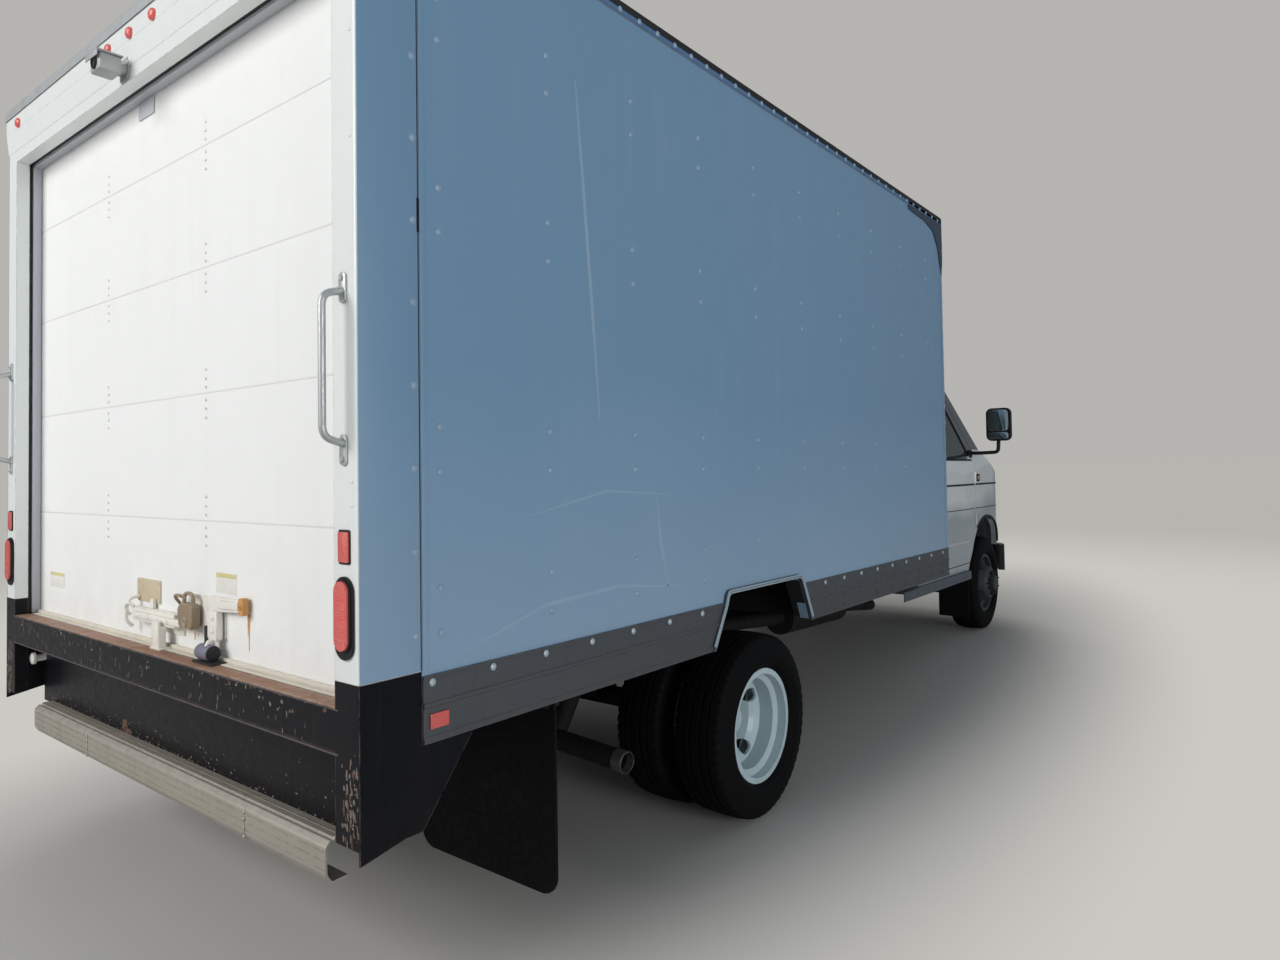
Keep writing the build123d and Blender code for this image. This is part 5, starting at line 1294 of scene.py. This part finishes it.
# Side lamps, front marker lamps and their dark surrounds.
amber_lens = lens_finish("amber_lens", (0.6, 0.36, 0.2), 70)
dress(amber_lens, "amber_lamps")
surrounds = bmesh.new()
for side in (-1, 1):
    for x0, x1, z, half, step in (
        (5588, 5668, 1296, 7, 12), (5588, 5668, 1253, 7, 12), (5584, 5597, 1275, 26, 6),
        (5659, 5672, 1275, 26, 6),
    ):
        moulding(surrounds, "cab_body", side, x0, x1, z, half, 9, step)
set_down("side_lamp_surrounds", surrounds, trim_black)

# Cab glass: tinted green-grey, with a black border printed along the top and foot of the
# windshield, and two wipers of black pressed steel with rubber blades.
window_glass = glossy(
    "window_glass", (0.055, 0.07, 0.068), ((0.16, 0.15, 0.14), 1.2, 2.4, 0.25), (0.35, 0.7, 0.02, 0.1), 6,
    Transmission_Weight=0.55, IOR=1.45, Metallic=0,
)
dress(window_glass, "windshield", "left_glass", "right_glass")


def on_screen(y, z):
    """A point on the windshield's outer face."""
    return land("windshield", (7200, y, z), (-1, 0, 0))


border = bmesh.new()
edge_rows = [
    [(-752, 1578), (-640, 1576), (-320, 1576), (0, 1576), (320, 1576), (640, 1576), (752, 1578)],
    [(-672, 2052), (-560, 2054), (-280, 2054), (0, 2054), (280, 2054), (560, 2054), (672, 2052)],
]
lift = Vector((1.2, 0, 0.6))
for row, inward in zip(edge_rows, (42, -42)):
    rings = []
    for y, z in row:
        spots = on_screen(y, z + math.copysign(6, inward)), on_screen(y * 0.96, z + inward)
        if all(spots):
            rings.append([border.verts.new(spot[0] + lift) for spot in spots])
    for first, second in zip(rings, rings[1:]):
        border.faces.new((first[0], second[0], second[1], first[1]))
set_down("windshield_border", border, trim_black)

wipers = bmesh.new()
for root_y, tip_y, tip_z in ((-560, -40, 1640), (60, 640, 1650)):
    start = land("cab_body", (5790, root_y, 1800), (0, 0, -1))[0]
    tip = on_screen(tip_y, tip_z)[0] + Vector((14, 0, 8))
    turned(wipers, [(-4, 18), (10, 18), (22, 12), (24, 0)], start, (0.2, 0, 1), steps=16)
    swept(
        wipers, [start + Vector((0, 0, 18)), start.lerp(tip, 0.5) + Vector((10, 0, 14)), tip], 5, bend=60,
        steps=8,
    )
    blade = ((tip_y - 250, tip_z - 42), (tip_y - 95, tip_z - 5), (min(700, tip_y + 60), tip_z + 34))
    swept(wipers, [on_screen(y, z)[0] + Vector((8, 0, 5)) for y, z in blade], 6, bend=80, steps=6)
set_down("wipers", wipers, trim_black)

# Door mirrors: black moulded heads on a bent arm, with a tall glass and a short one below it.
mirror_x, mirror_y = 5530, 1190
mirror_low, mirror_high = 1545, 1785
mirror_glass = glossy(
    "mirror_glass", (0.72, 0.76, 0.78), ((0.3, 0.29, 0.27), 1, 2.4, 0.3), (0.3, 0.7, 0.02, 0.12), 9,
    Metallic=1,
)
shell = [
    (-45, 0.9, 0.94), (-45, 0.98, 0.985), (-38, 1, 1), (-5, 1, 1), (18, 0.94, 0.95), (34, 0.8, 0.84),
    (43, 0.55, 0.62),
]
for side, name in ((-1, "right"), (1, "left")):
    head = bmesh.new()
    middle_y, middle_z = side * mirror_y, (mirror_low + mirror_high) / 2
    rings = []
    for dx, wide, tall in shell:
        outline = rounded(-84 * wide, 84 * wide, -120 * tall, 120 * tall, 38 * wide, 5)
        rings.append([head.verts.new((mirror_x + dx, middle_y + y, middle_z + z)) for y, z in outline])
    rings.append([head.verts.new((mirror_x + 45, middle_y, middle_z))])
    loft(head, rings, (0,))
    swept(
        head,
        [
            (5500, side * 984, 1461), (5505, side * 1030, 1458), (mirror_x, side * (mirror_y - 14), 1463),
            (mirror_x, side * (mirror_y - 10), 1552),
        ],
        13, bend=30,
    )
    foot_y = land_beside(name + "_door", side, 5500, 1448)[0].y
    block(head, (5466, foot_y - side * 3, 1424), (5530, foot_y + side * 9, 1482), 4)
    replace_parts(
        set_down(name + "_mirror_head", head, black_plastic, name + "_door"),
        name + "_mirror",
    )
    panes = bmesh.new()
    for low_z, high_z, radius in ((1617, 1772, 28), (1558, 1607, 20)):
        outline = rounded(middle_y - 70, middle_y + 70, low_z, high_z, radius)
        plate(panes, outline, mirror_x - 47.5, mirror_x - 44.5, 0.8)
    set_down(name + "_mirror_panes", panes, mirror_glass, name + "_door")

# Grille, headlamps and front bumper: black moulded bars, clear lenses with a chrome bowl and
# upright ribs, and a textured black bumper with a blank plate pad.
dress(black_plastic, "grille")
clear_lens = lens_finish("clear_lens", (0.62, 0.65, 0.66), 55)
dress(clear_lens, "headlamps")
bumper_plastic = surface(
    "bumper_plastic", (0.014, 0.014, 0.015), (dry_mud, 0.3, 0.9, 0.2), (0.45, 0.7), 220, relief=0.0008
)
dress(bumper_plastic, "front_bumper")
nose = bmesh.new()
block(nose, (6698.5, -165, 556), (6700.9, 165, 662), 0.8)
for z in range(528, 557, 7):
    block(nose, (6698, -560, z), (6702, 560, z + 3), 0.8)
set_down("nose_trim", nose, trim_black)
beam_chrome = surface(
    "beam_chrome", (0.7, 0.72, 0.74), ((0.2, 0.18, 0.16), 0.6, 1.4, 0.25), (0.08, 0.2), 90, Metallic=0.9
)
beams = bmesh.new()
rib_pitch, rib_reach = 12, 58
beam_form = [(-0.6, 70), (2.6, 70), (3.6, 66), (1.6, 61), (0.8, 40), (2.2, 22), (3.4, 12), (3.6, 0)]
for side in (-1, 1):
    middle, outward = land("headlamps", (7200, side * 622, 1040), (-1, 0, 0))
    turned(beams, beam_form, middle, outward, steps=36)
    for k in range(-4, 5):
        rise = math.sqrt(rib_reach**2 - (rib_pitch * k) ** 2)
        swept(beams, [middle + Vector((1.2, rib_pitch * k, end)) for end in (-rise, rise)], 1.6, steps=6)
set_down("headlamp_beams", beams, beam_chrome)

# Running boards: folded aluminium steps with rows of punched grip ribs.
board_metal = surface(
    "board_metal", (0.13, 0.16, 0.19), ((0.06, 0.055, 0.05), 0.3, 0.75, 0.4), (0.35, 0.6), 50,
    chips=((0.5, 0.5, 0.5), 0.003, 0.6, 0.2), Metallic=0.6,
)
dress(board_metal, "running_boards")
grips = bmesh.new()
for side in (-1, 1):
    for x in range(4045, 5346, 50):
        for y in (885, 930, 975):
            block(grips, (x - 5, side * (y - 16), 597.5), (x + 5, side * (y + 16), 601.5), 1.6)
    block(grips, (4024, side * 1007, 586), (5376, side * 1010, 594), 1)
    block(grips, (4024, side * 1007, 546), (5376, side * 1010, 552), 1)
set_down("board_grips", grips, board_metal)

# Dashboard and steering wheel: grey-black grained moulding, dusty on top.
dash_vinyl = surface(
    "dash_vinyl", (0.03, 0.03, 0.032), ((0.12, 0.11, 0.1), 1.2, 2, 0.1), (0.55, 0.75), 320, relief=0.0008
)
dress(dash_vinyl, "dash")

# Seats: a bucket seat each side, in grey woven cloth over foam, with sewn side bolsters, three
# stitched channels and a headrest. The cushions crown between their seams.
tree, given, give, place = effect(
    "seat_weave", {"Thread": (0.11, 0.11, 0.12, 1), "Gap": (0.03, 0.03, 0.034, 1), "Count": 260}, "Colour",
    "Height",
)
seat_weave = tree
threads = [
    put(tree, "TexWave", {"Vector": place, "Scale": given["Count"]}, bands_direction=way) for way in "YZ"
]
cloth = times(tree, *threads)
feed(tree, give, {"Colour": mix(tree, cloth, given["Gap"], given["Thread"]), "Height": cloth})
tree, shader, seat_cloth = finish("seat_cloth", Sheen_Weight=0.3, Sheen_Roughness=0.5)
woven = use(tree, seat_weave)
faded = use(tree, fine_grain, Scale=7)["Value"]
worn = mix(tree, ramp(tree, faded, 0.4, 0.75, 0, 0.3), woven["Colour"], (0.16, 0.155, 0.15, 1))
bump = put(tree, "Bump", {"Strength": 0.4, "Distance": 0.0006, "Height": woven["Height"]})
feed(
    tree, shader, {"Base Color": worn, "Roughness": ramp(tree, faded, 0.3, 0.7, 0.8, 0.95), "Normal": bump}
)


def cushion(centre, spans, lean_angle=0, bolster=0, channels=0):
    """A stuffed pad: (x, y, z) spans, crowned between its corners, with sewn channels across its top."""
    mesh = bmesh.new()
    steps, soft, seam_place = 26, 6, 0.62
    lean_turn = Matrix.Rotation(math.radians(lean_angle), 3, "Y")
    half = [span / 2 for span in spans]
    bmesh.ops.create_cube(mesh, size=2)
    bmesh.ops.subdivide_edges(mesh, edges=list(mesh.edges), cuts=steps, use_grid_fill=True)
    for vertex in mesh.verts:
        a, b, c = vertex.co
        length = (abs(a) ** soft + abs(b) ** soft + abs(c) ** soft) ** (1 / soft)
        a, b, c = a / length, b / length, c / length
        lift = 0.16 * (1 - a * a) * (1 - b * b)
        side_rise = bolster * max(0, abs(b) - seam_place) / 0.38 * (1 - a**4)
        phase = (a + 1) / 2 * (channels + 1)
        groove = 0
        if channels and abs(b) < seam_place and 0.4 < phase < channels + 0.6:
            groove = 0.1 * math.exp(-(((phase - round(phase)) * 9) ** 2))
        seam = 0.07 * math.exp(-(((abs(b) - seam_place) * 22) ** 2)) if bolster else 0
        top = c + (lift + side_rise - groove - seam if c > 0 else -0.3 * lift)
        pulled = 1 - 0.05 * (1 - c * c) * (1 - min(1, abs(a * b)))
        local = Vector((half[0] * a * pulled, half[1] * b * pulled, half[2] * top * 0.86))
        vertex.co = Vector(centre) + lean_turn @ local
    return mesh


plinths = bmesh.new()
for side, name in ((-1, "passenger"), (1, "driver")):
    y = side * 480
    base = cushion((4752, y, 1004), (488, 488, 122), lean_angle=-2, bolster=0.22, channels=3)
    set_down(name + "_seat_cushion", base, seat_cloth, crease=180)
    back = cushion((4524, y, 1330), (560, 470, 124), lean_angle=-99, bolster=0.24, channels=3)
    set_down(name + "_seat_back", back, seat_cloth, crease=180)
    rest = cushion((4472, y, 1690), (150, 260, 92), lean_angle=-97)
    set_down(name + "_headrest", rest, seat_cloth, crease=180)
    block(plinths, (4535, y - 190, 720.5), (4960, y + 190, 760), 8)
    block(plinths, (4560, y - 170, 758), (4930, y + 170, 948), 12)
    for dy in (-60, 60):
        swept(plinths, [(4490, y + dy, 1590), (4476, y + dy, 1660)], 6)
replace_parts(set_down("seat_plinths", plinths, cab_pan), "seats")
